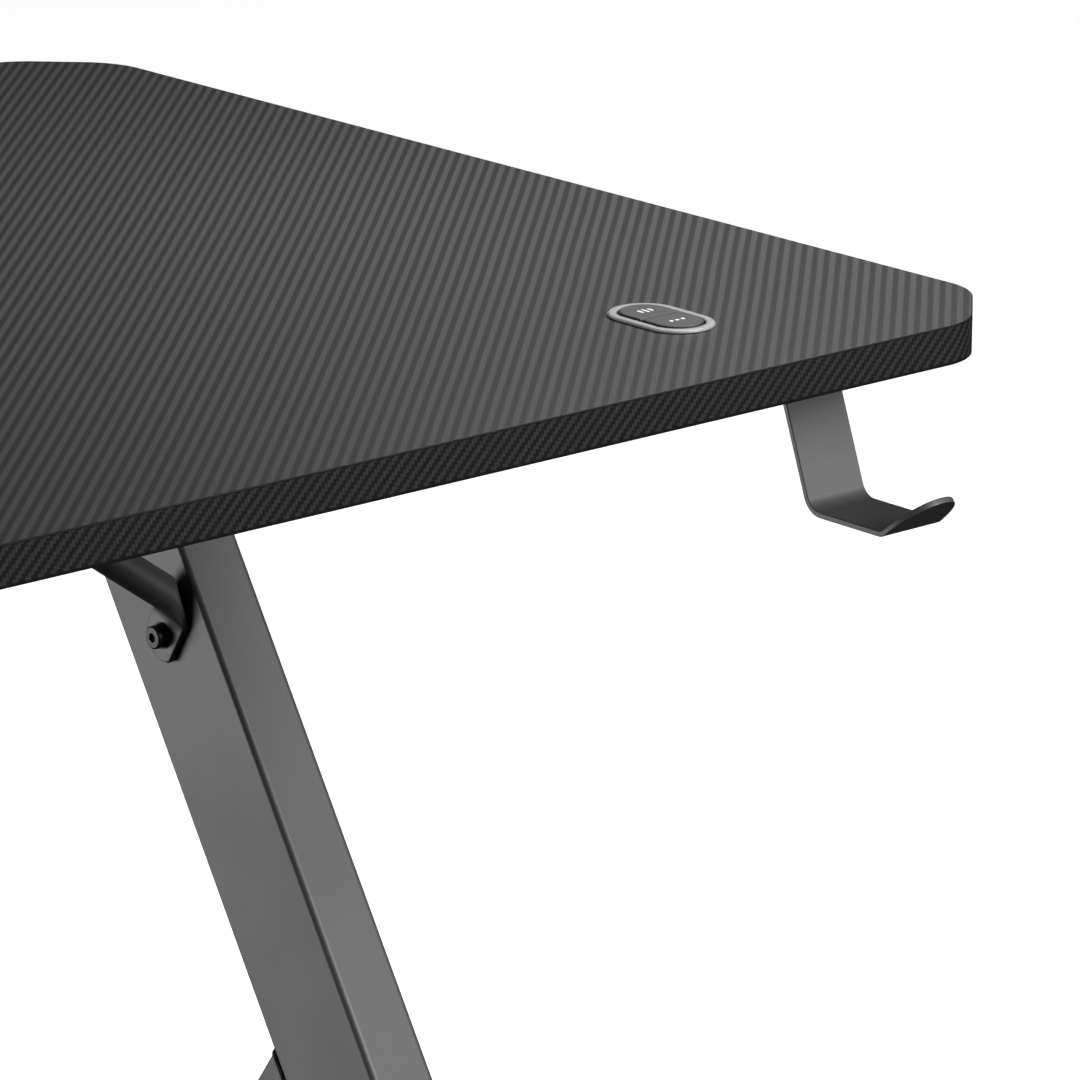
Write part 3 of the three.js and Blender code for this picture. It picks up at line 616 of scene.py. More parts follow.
# ---- boards ----
def side_faces(outline, profile):
    """The side of a board: the band on its flat height, the dark glue line on the rounded arrises, with
    painted shade as well on the lower one.
    """
    count = len(outline)
    band = len(profile) // 2 - 1
    runs = [0.0]
    for i, here in enumerate(outline):
        runs.append(runs[-1] + (outline[(i + 1) % count] - here).length)
    faces = []
    for r in range(len(profile) - 1):
        z0, z1 = profile[r][1] * MM, profile[r + 1][1] * MM
        low, high = r * count, (r + 1) * count
        for i in range(count):
            j = (i + 1) % count
            u0, u1 = runs[i] * MM, runs[i + 1] * MM
            lengths = ((u0, z0), (u1, z0), (u1, z1), (u0, z1))
            faces.append(((low + i, low + j, high + j, high + i), 1 if r == band else 3, lengths))
    return faces


def board(name, corners, hole=None):
    """A board with the diagonal foil on top, the twill band round the edge and plain foil below."""
    outline = rounded_polygon(corners, 40)
    profile = arris_profile(BOARD_BOTTOM, TOP, ARRIS_LOW, ARRIS_TOP)
    points = [p for d, z in profile for p in at_height(inset(outline, d), z)]
    faces = side_faces(outline, profile)
    bottom = list(range(len(outline)))
    top = list(range(len(points) - len(outline), len(points)))
    holes = [[], []]
    if hole:
        edge = 0.3
        start = len(points)
        size = len(hole)
        walls = [(-edge, BOARD_BOTTOM), (0, BOARD_BOTTOM + edge), (0, TOP - edge), (-edge, TOP)]
        for distance, z in walls:
            points += at_height(inset(hole, distance), z)
        for r in range(len(walls) - 1):
            low, high = start + r * size, start + (r + 1) * size
            for i in range(size):
                j = (i + 1) % size
                faces.append(((low + i, high + i, high + j, low + j), 2, None))
        last = len(points) - size
        holes = [list(range(start, start + size)), list(range(last, last + size))]
    for loop, inner, number in ((bottom, holes[0], 2), (top, holes[1], 0)):
        if not inner:
            faces.append((tuple(loop), number, None))
            continue
        flat = [[points[i] for i in loop], [points[i] for i in inner]]
        both = loop + inner
        for triangle in tessellate_polygon(flat):
            faces.append((tuple(both[i] for i in triangle), number, None))
    foils = [TOP_FOIL, EDGE_FOIL, UNDER_FOIL, GLUE_AND_SHADE_LINE]
    piece(f"visual_{name}", [(points, faces)], foils, "carbon_laminate", [name])


def bore(x, y, z0, z1, radius, segments=24):
    profile = [(0, z0), (radius, z0), (radius, z1), (0, z1)]
    return placed(turned(profile, segments), shift(x, y, 0))


HOOK_X = X_RIGHT - HOOK_FROM_RIGHT - HOOK_WIDTH / 2
HOOK_SCREWS = [(HOOK_X, Y_FRONT + HOOK_BEND_REAR + y) for y in HOOK_SCREW_SETBACKS]


def boards():
    opening = moved(stadium(BEZEL_WIDTH - 2 * BEZEL_LAP, BEZEL_LENGTH - 2 * BEZEL_LAP, 24), *MODULE)
    board("top_board_right", [
        (X_SEAM, Y_FRONT, 0),
        (X_RIGHT - USER_CHAMFER, Y_FRONT, USER_CHAMFER_RADIUS),
        (X_RIGHT, Y_FRONT + USER_CHAMFER, USER_CHAMFER_RADIUS),
        (X_RIGHT, Y_BACK - WALL_CHAMFER, CHAMFER_RADIUS),
        (X_RIGHT - WALL_CHAMFER, Y_BACK, CHAMFER_RADIUS),
        (X_SEAM, Y_BACK, 0),
    ], opening)
    board("top_board_corner", [
        (X_SEAM - GAP, Y_FRONT, 0),
        (X_SEAM - GAP, Y_BACK, 0),
        (X_LEFT + WALL_CHAMFER, Y_BACK, CHAMFER_RADIUS),
        (X_LEFT, Y_BACK - WALL_CHAMFER, CHAMFER_RADIUS),
        (X_LEFT, Y_SEAM, 0),
        (X_INNER, Y_SEAM, 0),
        (X_INNER, Y_FRONT, INNER_FILLET),
    ])
    board("top_board_return", [
        (X_INNER, Y_SEAM - GAP, 0),
        (X_LEFT, Y_SEAM - GAP, 0),
        (X_LEFT, Y_RETURN_FRONT + WALL_CHAMFER, CHAMFER_RADIUS),
        (X_LEFT + WALL_CHAMFER, Y_RETURN_FRONT, CHAMFER_RADIUS),
        (X_INNER - USER_CHAMFER, Y_RETURN_FRONT, USER_CHAMFER_RADIUS),
        (X_INNER, Y_RETURN_FRONT + USER_CHAMFER, USER_CHAMFER_RADIUS),
    ])


# ---- frames, drawn for the right end: X = 0 is the end of the board, Y = 0 the user's edge ----
MAIN_ACROSS = TUBE_WIDE / math.cos(MAIN_LEAN)
STRUT_ACROSS = TUBE_WIDE / math.cos(STRUT_LEAN)
MAIN_BACK = MAIN_FOOT_FRONT + MAIN_ACROSS + GAP / math.cos(MAIN_LEAN)
STRUT_REAR = STRUT_TOP_Y + math.tan(STRUT_LEAN) * STRUT_TOP_Z
BOLT_Y = MAIN_FOOT_FRONT + math.tan(MAIN_LEAN) * BOLT_HEIGHT + MAIN_ACROSS / 2 - BOLT_OFF_CENTRE


def tube_sections(across, lean):
    outer = rectangle(TUBE_NARROW, across, TUBE_RADIUS, 8)
    inner = rectangle(TUBE_NARROW - 2 * WALL, across - 2 * WALL / math.cos(lean), TUBE_RADIUS - WALL, 8)
    return outer, inner


def main_tube():
    slope = math.tan(MAIN_LEAN)
    middle = MAIN_FOOT_FRONT + MAIN_ACROSS / 2

    def ring(outline, z):
        return [Vector((LEG_MIDDLE + p.x, middle + p.y + slope * z, z)) for p in outline]
    outer, inner = tube_sections(MAIN_ACROSS, MAIN_LEAN)
    low, high = FOOT_TOP + GAP, TOP_BAR_BOTTOM - GAP
    return bridge([ring(outer, low), ring(outer, high), ring(inner, high), ring(inner, low)], closed=True)


def strut():
    fall = math.tan(STRUT_LEAN)
    slope = math.tan(MAIN_LEAN)
    middle = STRUT_REAR - STRUT_ACROSS / 2

    def ring(outline, z):
        return [Vector((LEG_MIDDLE + p.x, middle + p.y - fall * z, z)) for p in outline]

    def meeting(outline):
        heights = [(middle + p.y - MAIN_BACK) / (fall + slope) for p in outline]
        return [Vector((LEG_MIDDLE + p.x, middle + p.y - fall * z, z)) for p, z in zip(outline, heights)]
    outer, inner = tube_sections(STRUT_ACROSS, STRUT_LEAN)
    low = FOOT_TOP + GAP
    return bridge([ring(outer, low), meeting(outer), meeting(inner), ring(inner, low)], closed=True)


def bar_along_y(width, height, radius, y0, y1, z_middle):
    """A hollow bar along Y with slightly rounded cut ends."""
    def ring(outline, y):
        return [Vector((LEG_MIDDLE + p.x, y, z_middle + p.y)) for p in outline]
    outer = rectangle(width, height, radius, 6)
    inner = rectangle(width - 2 * WALL, height - 2 * WALL, max(0.4, radius - WALL), 6)
    edge = 0.25
    return bridge([
        ring(inset(outer, edge), y0), ring(outer, y0 + edge),
        ring(outer, y1 - edge), ring(inset(outer, edge), y1),
        ring(inner, y1), ring(inner, y0),
    ], closed=True)


def foot_cap(at_rear):
    flange = slab(rectangle(TUBE_WIDE, FOOT_HEIGHT, 3, 8), 0, CAP_THICKNESS, low=1.1, high=0.15)
    inside = 2 * (WALL + GAP)
    hollow = rectangle(TUBE_WIDE - inside, FOOT_HEIGHT - inside, 1.2, 4)
    plug = slab(hollow, CAP_THICKNESS - 0.2, 12.5, 0.2, 0.8)
    middle = FOOT_BOTTOM + FOOT_HEIGHT / 2
    if at_rear:
        matrix = shift(LEG_MIDDLE, FOOT_TO + GAP + CAP_THICKNESS, middle) @ turn_about("X", 90)
    else:
        matrix = shift(LEG_MIDDLE, FOOT_FROM - GAP - CAP_THICKNESS, middle) @ turn_about("X", -90)
    return [placed(flange, matrix), placed(plug, matrix)]


def leveler(y):
    """Round pad, hexagonal nut and a stud whose thread shows as fine rings."""
    pad = turned([
        (0, 0), (14.4, 0), (15.3, 0.2), (15.8, 0.7), (16, 1.4), (16, 2.6), (15.7, 3.3), (15, 3.8),
        (11.6, 5.6), (10.6, 5.9), (9.6, 6), (0, 6),
    ], 56)
    nut_corner = 7.45
    turns = [math.radians(60 * i + 30) for i in range(6)]
    corners = [(nut_corner * math.cos(a), nut_corner * math.sin(a), 0.5) for a in turns]
    nut = slab(rounded_polygon(corners, 3), 5.9, FOOT_BOTTOM - GAP, 0.1, 0.5)
    pitch = 1.25
    stud = [(0, 9.0), (3.5, 9.0)]
    z = FOOT_BOTTOM - GAP
    while z < 32:
        stud += [(3.5, z), (4, z + pitch * 0.4), (4, z + pitch * 0.6)]
        z += pitch
    stud += [(3.5, z), (3.2, 34), (0, 34)]
    place = shift(LEG_MIDDLE, y, 0)
    return [placed(pad, place), placed(nut, place), placed(turned(stud, 28), place)]


# The ear on the leg: distance up from the bolt, then its reach towards the user and towards the wall.
# It is round behind the bolt and cropped straight in front of it.
EAR_FLAT_TO = 9.4
EAR_OUTLINE = [
    (-11.35, 1.2, 0.4), (-11.2, 2.9, 1.9), (-10.8, 4.6, 3.6), (-10.2, 6.1, 5.0),
    (-9.0, 6.9, 6.8), (-7.0, 7.4, 8.7), (-4.5, 8.0, 10.1), (-2.0, 8.7, 10.8),
    (0.0, 9.25, 11.0), (3.0, 10.1, 10.7), (6.5, 11.05, 9.9), (EAR_FLAT_TO, 11.9, 9.1),
]
# From there it bends away and rounds out into the tube: up, away, share of the bend, reaches, half depth.
EAR_BEND = [
    (EAR_FLAT_TO, BRACE_FLAT / 2, 0.0, 11.9, 9.1, BRACE_FLAT / 2), (12.3, 2.7, 0.5, 11.2, 8.8, 2.2),
    (16.8, 4.9, 0.85, 9.5, 8.3, 4.4), (23.0, 7.8, 1.0, BRACE_RADIUS, BRACE_RADIUS, BRACE_RADIUS),
]
LEVELER_Y = {"leveler_front": FOOT_FROM + LEVELER_INSET, "leveler_rear": FOOT_TO - LEVELER_INSET}


def brace_stations():
    """Centre and the two half axes of each section, from the ear on the leg to the ear at the beam."""
    run = Vector((-1, -BRACE_FORWARD, BRACE_RISE)).normalized()
    inwards = Vector((-1, 0, 0))
    up = Vector((0, 0, 1))
    level = Vector((run.x, run.y, 0)).normalized()
    leg_up = Vector((0, run.y, run.z)).normalized()
    leg_across = inwards.cross(leg_up).normalized()
    beam_across = level.cross(up).normalized()
    bolt = Vector((LEG_INNER - GAP, BOLT_Y, BOLT_HEIGHT))
    stations = []

    def add(origin, ahead, aside, across, s, t, turn, half_width, half_depth):
        centre = origin + ahead * s + aside * t
        deep = (aside * math.cos(turn) - ahead * math.sin(turn)) * half_depth
        stations.append((centre, across * half_width, deep))
        return centre

    thin = BRACE_FLAT / 2
    turn = math.acos(run.dot(leg_up))

    def on_leg_between(s, t, share, front, rear, half_depth):
        """A section that reaches front towards the user and rear towards the wall."""
        shifted = bolt + leg_across * (rear - front) / 2
        return add(shifted, leg_up, inwards, leg_across, s, t, turn * share, (front + rear) / 2, half_depth)
    for s, front, rear in EAR_OUTLINE:
        on_leg_between(s, thin, 0, front, rear, thin)
    for values in bent(EAR_BEND):
        low = on_leg_between(*values)

    ear_top = TOP_BAR_TOP - BEAM_HIGH - GAP
    high = low + run * ((ear_top - 10 - low.z) / run.z)
    beam_turn = math.acos(run.dot(level))
    flat_at = high.z - ear_top

    def on_beam(*values):
        return add(high, level, -up, beam_across, *values)
    on_beam(0, 0, -beam_turn, BRACE_RADIUS, BRACE_RADIUS)
    ear_at = 36
    ends = [math.radians(a) for a in (3, 9, 17, 26, 36, 47, 59, 72, 90)]
    for values in bent([
        (0, 0, -beam_turn, BRACE_RADIUS, BRACE_RADIUS),
        (9, flat_at + 5.6, -beam_turn * 0.7, 9.2, 5.0),
        (16, flat_at + 3.0, -beam_turn * 0.3, 11.0, 2.7),
        (22, flat_at + thin, 0, BRACE_HALF_WIDTH, thin),
        (ear_at, flat_at + thin, 0, EAR_RADIUS, thin),
    ]):
        on_beam(*values)
    for a in reversed(ends[:-1]):
        on_beam(ear_at + EAR_RADIUS * math.cos(a), flat_at + thin, 0, EAR_RADIUS * math.sin(a), thin)
    ear = high + level * ear_at
    ear.z = ear_top - thin
    return stations, ear


def bent(knots, steps=5):
    """More values between the knots of a bend, on a smooth curve, without the first knot."""
    result = []
    for k in range(len(knots) - 1):
        p0, p1 = knots[max(k - 1, 0)], knots[k]
        p2, p3 = knots[k + 1], knots[min(k + 2, len(knots) - 1)]
        for s in range(1, steps + 1):
            t = s / steps
            values = []
            for a, b, c, d in zip(p0, p1, p2, p3):
                square = 2 * a - 5 * b + 4 * c - d
                cube = 3 * b - a - 3 * c + d
                curve = (2 * b + (c - a) * t + square * t ** 2 + cube * t ** 3) / 2
                values.append(min(max(curve, min(b, c)), max(b, c)))
            result.append(values)
    return result


def brace():
    stations, _ = brace_stations()
    sides = 44
    rings = []
    for centre, across, deep in stations:
        flatness = across.length / deep.length
        squareness = max(0.15, 1 / (1 + 0.9 * max(0.0, flatness - 1) ** 1.2))
        ring = []
        for i in range(sides):
            angle = 2 * math.pi * (i + 0.5) / sides
            c, s = math.cos(angle), math.sin(angle)
            ring.append(centre + across * math.copysign(abs(c) ** squareness, c)
                        + deep * math.copysign(abs(s) ** squareness, s))
        rings.append(ring)
    return bridge(rings)


def screw():
    """Low-profile socket screw along Z, underside of the head at 0, with a rounded crown."""
    tip = -BOLT_LENGTH
    crown = HEAD_HEIGHT
    return turned([
        (0, tip), (2.3, tip), (3, tip + 0.8), (3, -0.2), (3.2, 0), (4.7, 0), (HEAD_RADIUS, 0.3),
        (HEAD_RADIUS, crown - 0.8), (4.85, crown - 0.4), (4.5, crown - 0.1), (4.1, crown), (0, crown),
    ], 48)


def to_leg(x):
    """Turns a fastener drawn along Z so that it points into the leg at that X, on the brace's bolt."""
    return shift(x, BOLT_Y, BOLT_HEIGHT) @ turn_about("Y", -90)


def hex_prism(flats, z0, z1):
    corner = flats / math.sqrt(3)
    outline = [Vector((corner * math.cos(math.radians(60 * i)), corner * math.sin(math.radians(60 * i))))
               for i in range(6)]
    return bridge([at_height(outline, z0), at_height(outline, z1)])


def flat_washer():
    outer, t, c = 5.7, FLAT_WASHER, 0.12
    profile = [(BOLT_HOLE, 0), (outer - c, 0), (outer, c), (outer, t - c), (outer - c, t), (BOLT_HOLE, t)]
    return turned(profile, 48)


def spring_washer():
    """A split ring whose two ends stand a little apart."""
    inner, outer, t = BOLT_HOLE, 5.3, SPRING_WASHER - 0.25
    rings = []
    steps = 60
    for k in range(steps + 1):
        a = math.radians(6 + 348 * k / steps)
        lift = 0.25 * k / steps
        corners = [(inner, lift), (outer - 0.12, lift), (outer, lift + 0.12), (outer, lift + t - 0.12),
                   (outer - 0.12, lift + t), (inner, lift + t)]
        rings.append([Vector((r * math.cos(a), r * math.sin(a), z)) for r, z in corners])
    return bridge(rings)


def weld(path, radius, ripple=1.6):
    """A bead along a closed path of points, with the ripples of a weld."""
    rings = []
    travelled = 0.0
    count = len(path)
    for i, here in enumerate(path):
        ahead = (path[(i + 1) % count] - path[i - 1]).normalized()
        side = ahead.cross(Vector((0, 0, 1)))
        side = side.normalized() if side.length > 0.01 else Vector((1, 0, 0))
        up = side.cross(ahead).normalized()
        size = radius * (1 + 0.10 * math.sin(2 * math.pi * travelled / ripple))
        ring = []
        for k in range(8):
            angle = 2 * math.pi * k / 8
            ring.append(here + side * size * math.cos(angle) + up * size * math.sin(angle))
        rings.append(ring)
        travelled += (path[(i + 1) % count] - here).length
    return bridge(rings, closed=True)


def resampled(path, spacing):
    """Points at even spacing along a closed path."""
    result = []
    for i, here in enumerate(path):
        there = path[(i + 1) % len(path)]
        steps = max(1, round((there - here).length / spacing))
        result += [here.lerp(there, s / steps) for s in range(steps)]
    return result


def weld_paths():
    slope = math.tan(MAIN_LEAN)
    fall = math.tan(STRUT_LEAN)
    outline = rectangle(TUBE_NARROW, MAIN_ACROSS, TUBE_RADIUS, 4)
    middle = MAIN_FOOT_FRONT + MAIN_ACROSS / 2
    paths = {}
    for name, z in (("weld_foot", FOOT_TOP), ("weld_top", TOP_BAR_BOTTOM)):
        paths[name] = [Vector((LEG_MIDDLE + p.x, middle + p.y + slope * z, z)) for p in outline]
    outline = rectangle(TUBE_NARROW, STRUT_ACROSS, TUBE_RADIUS, 4)
    middle = STRUT_REAR - STRUT_ACROSS / 2
    meeting = [(middle + p.y - MAIN_BACK) / (fall + slope) for p in outline]
    for name, heights in (("weld_strut_foot", [FOOT_TOP] * len(outline)), ("weld_strut_top", meeting)):
        paths[name] = [Vector((LEG_MIDDLE + p.x, middle + p.y - fall * z, z))
                       for p, z in zip(outline, heights)]
    return paths


def frame_pieces(name, matrix):
    """All the pieces of one frame, moved from the drawn frame to their own end of the desk."""
    def make(part, shells, material, slot, body="root", **more):
        shells = [placed(shell, matrix) for shell in shells]
        return piece(f"visual_{name}_{part}", shells, [material], slot, [f"{name}_{part}"], body, **more)

    def powder(part, shells, **more):
        return make(part, shells, POWDER, "black_powder", **more)
    powder("main_tube", [main_tube()])
    powder("strut", [strut()])
    top_middle = TOP_BAR_BOTTOM + TOP_BAR / 2
    foot_middle = FOOT_BOTTOM + FOOT_HEIGHT / 2
    powder("top_bar", [bar_along_y(TOP_BAR, TOP_BAR, 2, TOP_BAR_FROM, TOP_BAR_TO, top_middle)])
    foot_shell = bar_along_y(TUBE_WIDE, FOOT_HEIGHT, TUBE_RADIUS, FOOT_FROM, FOOT_TO, foot_middle)
    foot = powder("foot_bar", [foot_shell])
    low, high = FOOT_BOTTOM - 4, FOOT_BOTTOM + 4
    carve(foot, [placed(bore(LEG_MIDDLE, y, low, high, STUD_HOLE), matrix) for y in LEVELER_Y.values()])
    make("foot_cap_front", foot_cap(False), PLASTIC, "black_plastic")
    make("foot_cap_rear", foot_cap(True), PLASTIC, "black_plastic")
    for part, y in LEVELER_Y.items():
        make(part, leveler(y), PLASTIC, "black_plastic", f"{name}_{part}", sharp=35)

    _, ear = brace_stations()
    rod = powder("brace", [brace()], weighted=False)
    low_hole = placed(bore(0, 0, -6, 6, BOLT_HOLE), to_leg(LEG_INNER))
    high_hole = bore(ear.x, ear.y, ear.z - 6, ear.z + 6, BOLT_HOLE)
    carve(rod, [placed(low_hole, matrix), placed(high_hole, matrix)])
    flat_at = LEG_INNER - GAP - BRACE_FLAT - GAP
    spring_at = flat_at - FLAT_WASHER - GAP
    screw_at = spring_at - SPRING_WASHER - GAP
    at_beam = shift(ear.x, ear.y, ear.z - BRACE_FLAT / 2 - GAP) @ turn_about("X", 180)
    for part, shell, place in (("brace_flat_washer", flat_washer(), to_leg(flat_at)),
                               ("brace_spring_washer", spring_washer(), to_leg(spring_at))):
        make(part, [placed(shell, place)], STEEL, "black_steel", sharp=30)
    for part, place in (("brace_low_screw", to_leg(screw_at)), ("brace_high_screw", at_beam)):
        obj = make(part, [placed(screw(), place)], STEEL, "black_steel", sharp=35)
        socket = hex_prism(SOCKET_FLATS, HEAD_HEIGHT - SOCKET_DEPTH, HEAD_HEIGHT + 2)
        carve(obj, [placed(socket, matrix @ place)], 35)

    for part, path in weld_paths().items():
        radius = 0.9 if part == "weld_strut_top" else 1.5
        bead = placed(weld(resampled(path, 0.4), radius), matrix)
        piece(f"visual_{name}_{part}", [bead], [POWDER], "black_powder", sharp=180, weighted=False)


# ---- headphone hook ----
def bend_line(corners, segments=10):
    """Rounds the inner corners of an open line of (y, z, radius)."""
    points = [Vector(corners[0][:2])]
    for i in range(1, len(corners) - 1):
        triple = [(*corners[i - 1][:2], 0), corners[i], (*corners[i + 1][:2], 0)]
        points += rounded_polygon(triple, segments)[1:-1]
    points.append(Vector(corners[-1][:2]))
    return points


def hook_line():
    half = HOOK_THICK / 2
    top = -BOARD - GAP - half
    shelf = -HOOK_SHELF_DROP + half
    foot = HOOK_BEND_REAR + math.tan(HOOK_LEAN) * (shelf - top)
    length = HOOK_LIP_REACH / math.cos(HOOK_LIP_ANGLE)
    base_bend, strap_bend, lip_bend = HOOK_BENDS
    return bend_line([
        (HOOK_BEND_REAR + HOOK_BASE, top, 0),
        (HOOK_BEND_REAR, top, base_bend),
        (foot, shelf, strap_bend),
        (HOOK_SHELF_FRONT, shelf, lip_bend),
        (HOOK_SHELF_FRONT - HOOK_LIP_REACH, shelf + length * math.sin(HOOK_LIP_ANGLE), 0),
    ])


def headphone_hook():
    """Bent strap whose lip narrows to a rounded tongue, its edges square to the sheet and lightly eased."""
    line = hook_line()
    tip = line[-1]
    last_bend = line[-2]
    lip = [p for p in line if p.x <= HOOK_SHELF_FRONT]
    body = [p for p in line if p.x > HOOK_SHELF_FRONT]
    tongue_steps = 26
    widest_turn = math.radians(88.5)
    stations = [(p, HOOK_WIDTH / 2) for p in body]
    for p in lip[:-1]:
        reach = (HOOK_SHELF_FRONT - p.x) / HOOK_LIP_REACH
        stations.append((p, HOOK_WIDTH / 2 * (1 - reach ** TONGUE) ** (1 / TONGUE)))
    first = math.asin(((HOOK_SHELF_FRONT - last_bend.x) / HOOK_LIP_REACH) ** (TONGUE / 2))
    for k in range(1, tongue_steps + 1):
        a = first + (widest_turn - first) * k / tongue_steps
        y = HOOK_SHELF_FRONT - HOOK_LIP_REACH * math.sin(a) ** (2 / TONGUE)
        t = (last_bend.x - y) / (last_bend.x - tip.x)
        stations.append((last_bend.lerp(tip, t), HOOK_WIDTH / 2 * math.cos(a) ** (2 / TONGUE)))
    ease = 0.3
    rings = []
    for i, (here, half) in enumerate(stations):
        before = stations[max(i - 1, 0)][0]
        after = stations[min(i + 1, len(stations) - 1)][0]
        along = (after - before).normalized()
        up = Vector((-along.y, along.x)) * HOOK_THICK / 2
        small = min(ease, half * 0.4)
        thin = 1 - small / (HOOK_THICK / 2)
        ring = []
        for x, side in ((-half + small, 1), (half - small, 1), (half, thin), (half, -thin),
                        (half - small, -1), (-half + small, -1), (-half, -thin), (-half, thin)):
            ring.append(Vector((HOOK_X + x, Y_FRONT + here.x + up.x * side, TOP + here.y + up.y * side)))
        rings.append(ring)
    corner = 32
    obj = piece("visual_headphone_hook", [bridge(rings)], [POWDER], "black_powder",
                ["headphone_hook"], sharp=corner)
    low, high = BOARD_BOTTOM - 6, BOARD_BOTTOM + 1
    carve(obj, [bore(x, y, low, high, HOOK_SCREW_HOLE) for x, y in HOOK_SCREWS], corner)


def hook_screws():
    """Domed wood screws: the head hangs below 0 and the point is at the top."""
    for i, (x, y) in enumerate(HOOK_SCREWS):
        place = shift(x, y, BOARD_BOTTOM - GAP - HOOK_THICK - GAP)
        shell = turned([(0, -2.4), (1.6, -2.35), (2.8, -1.8), (3.6, -1.0), (3.95, -0.3), (4, 0), (1.5, 0),
                        (1.5, 11), (0, 12)], 40)
        obj = piece(f"visual_hook_screw_{i + 1}", [placed(shell, place)], [STEEL], "black_steel",
                    [f"hook_screw_{i + 1}"], sharp=35)
        carve(obj, [placed(hex_prism(2.4, -4, -1.1), place)], 35)


# ---- light control ----
def light_control():
    def ring(d, z):
        outline = moved(stadium(BEZEL_WIDTH - 2 * d, BEZEL_LENGTH - 2 * d, 28), *MODULE)
        return at_height(outline, TOP + z)
    collar_bottom = GAP - COLLAR_DEPTH
    profile = [
        (0, GAP), (0, BEZEL_PROUD - 0.75), (0.12, BEZEL_PROUD - 0.5), (0.62, BEZEL_PROUD - 0.06),
        (0.85, BEZEL_PROUD), (BEZEL_RIM - 0.7, BEZEL_PROUD), (BEZEL_RIM - 0.45, BEZEL_PROUD - 0.08),
        (BEZEL_RIM - 0.05, BEZEL_PROUD - 0.5), (BEZEL_RIM, BEZEL_PROUD - 0.7), (BEZEL_RIM, collar_bottom),
        (COLLAR_INSET, collar_bottom), (COLLAR_INSET, GAP),
    ]
    piece("visual_control_bezel", [bridge([ring(d, z) for d, z in profile], closed=True)], [SILVER],
          "silver_rim", ["control_bezel"])
    width = BEZEL_WIDTH - 2 * BEZEL_RIM - 3 * KEY_GAP
    length = BEZEL_LENGTH - 2 * BEZEL_RIM - 3 * KEY_GAP
    radius = width / 2
    straight = length / 2 - radius
    proud = KEY_PROUD - 0.1
    corner = 0.35
    key_bottom = KEY_PROUD - KEY_THICK
    for name, sign in (("mode_button", 1), ("colour_button", -1)):
        outline = [Vector((-radius + corner, KEY_GAP)), Vector((radius - corner, KEY_GAP)),
                   Vector((radius, KEY_GAP + corner))]
        for k in range(37):
            a = math.pi * k / 36
            outline.append(Vector((radius * math.cos(a), straight + radius * math.sin(a))))
        outline.append(Vector((-radius, KEY_GAP + corner)))
        points, faces = slab(outline, key_bottom, proud, 0.2, 0.6, steps=5)
        # Every face but the top cap, down the sides and over the rounded arris, takes the black plastic:
        # painted shade that darkens the gap between the keys and their outlines.
        walls = [(corners, 1, None) for corners, _, _ in faces[:-1]]
        cap = points, walls + faces[-1:]
        stem_at = (BEZEL_LENGTH - 2 * BEZEL_RIM) / 4
        square = moved(rectangle(4, 4, 0.5, 2), 0, stem_at)
        stem = slab(square, STEM_BOTTOM, key_bottom + 0.1, 0.2, 0.2)
        place = shift(*MODULE, TOP) @ turn_about("Z", 0 if sign > 0 else 180)
        piece(f"visual_{name}", [placed(cap, place), placed(stem, place)], [KEY, PLASTIC], "grey_key",
              [name], name)
        marks = []
        middle = length / 4 - 0.6
        for k in (-1, 0, 1):
            if sign > 0:
                mark = moved(rectangle(0.8, 4.6 - 1.2 * abs(k), 0.3, 3), 2.4 * k, middle)
            else:
                mark = moved(rectangle(1.6, 1.6, 0.79, 6), 2.8 * k, middle)
            marks.append(placed(slab(mark, proud - 0.05, proud + 0.05, 0, 0.03, 1), place))
        piece(f"visual_{name}_mark", marks, [PRINT], "grey_key", body=name, weighted=False)


# ---- assembly ----
boards()
FRAME_PLACES = {
    "right": shift(X_RIGHT, Y_FRONT, 0),
    "left": shift(X_LEFT, Y_FRONT, 0) @ Matrix.Scale(-1, 4, (1, 0, 0)),
    "return": shift(X_INNER, Y_RETURN_FRONT, 0) @ turn_about("Z", 90) @ Matrix.Scale(-1, 4, (1, 0, 0)),
}
for frame_name, frame_matrix in FRAME_PLACES.items():
    frame_pieces(frame_name, frame_matrix)
headphone_hook()
hook_screws()
light_control()

slot_of = {sub["node"]: sub["material_slot"] for sub in frame["record"]["subparts"]}
for node_name, node in frame["nodes"].items():
    for material_slot in node.material_slots:
        material_slot.material = BY_SLOT[slot_of[node_name]]


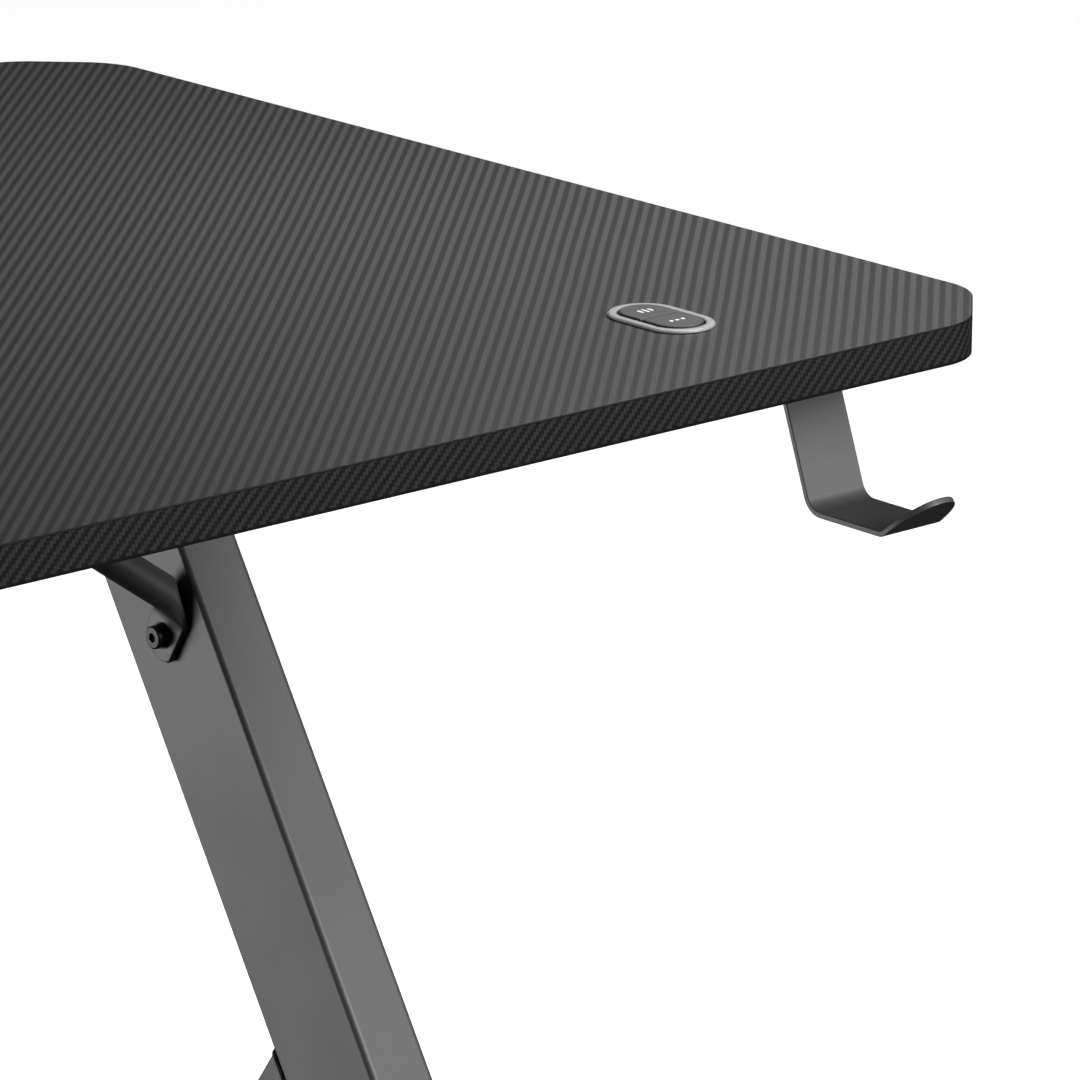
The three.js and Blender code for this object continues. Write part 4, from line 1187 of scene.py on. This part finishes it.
# ---- studio ----
def floor():
    n = Nodes("studio_floor")
    n.finish(base=n.mix(n.noise(0.8, 2.0), grey(0.90), grey(0.93)), roughness=0.9)
    n.shader.inputs["Emission Color"].default_value = (1, 1, 1, 1)
    n.shader.inputs["Emission Strength"].default_value = 0.75
    mesh = bpy.data.meshes.new("studio_floor")
    size = 30
    corners = [(-size, -size, 0), (size, -size, 0), (size, size, 0), (-size, size, 0)]
    mesh.from_pydata(corners, [], [(0, 1, 2, 3)])
    mesh.materials.append(n.material)
    obj = bpy.data.objects.new("studio_floor", mesh)
    bpy.context.scene.collection.objects.link(obj)
    obj.visible_diffuse = False
    obj.visible_glossy = False
    obj.visible_shadow = False


def softbox(name, place, target, width, height, power):
    data = bpy.data.lights.new(name, "AREA")
    data.shape = "RECTANGLE"
    data.size = width
    data.size_y = height
    data.energy = power
    obj = bpy.data.objects.new(name, data)
    bpy.context.scene.collection.objects.link(obj)
    obj.location = place
    obj.rotation_euler = (Vector(target) - Vector(place)).to_track_quat("-Z", "Y").to_euler()
    obj.visible_camera = False


def studio_air(strength):
    world = bpy.data.worlds.new("studio")
    world.use_nodes = True
    tree = world.node_tree
    background = tree.nodes["Background"]
    direction = tree.nodes.new("ShaderNodeTexCoord").outputs["Generated"]
    split = tree.nodes.new("ShaderNodeSeparateXYZ")
    tree.links.new(direction, split.inputs[0])
    height = tree.nodes.new("ShaderNodeMapRange")
    height.inputs["From Min"].default_value = -0.6
    height.inputs["From Max"].default_value = 1.0
    height.inputs["To Min"].default_value = 0.12
    height.inputs["To Max"].default_value = 1.0
    tree.links.new(split.outputs["Z"], height.inputs["Value"])
    tree.links.new(height.outputs["Result"], background.inputs["Color"])
    background.inputs["Strength"].default_value = strength
    bpy.context.scene.world = world


floor()
studio_air(0.10)
AIM = (0.6, 0.2, 0.6)
softbox("light_left_rear", (-4.2, 5.2, -0.6), AIM, 5.0, 4.0, 272)
softbox("light_right_front", (3.2, -3.2, 1.6), AIM, 3.0, 3.2, 90)
softbox("light_front_high", (1.5, -3.6, 3.2), AIM, 2.0, 2.0, 210)
softbox("light_right_end", (0.82, 0.12, 1.12), (0.72, 0.2, 0.75), 0.3, 0.3, 3.4)

camera_data = bpy.data.cameras.new("camera")
camera_data.lens = CAMERA_LENS
camera_data.sensor_width = 36
camera_data.clip_start = 0.05
camera = bpy.data.objects.new("camera", camera_data)
camera.location = CAMERA_PLACE
camera.rotation_euler = (math.radians(CAMERA_TILT), 0, math.radians(CAMERA_TURN))
bpy.context.scene.collection.objects.link(camera)
bpy.context.scene.camera = camera
bpy.context.scene.view_settings.view_transform = "Standard"
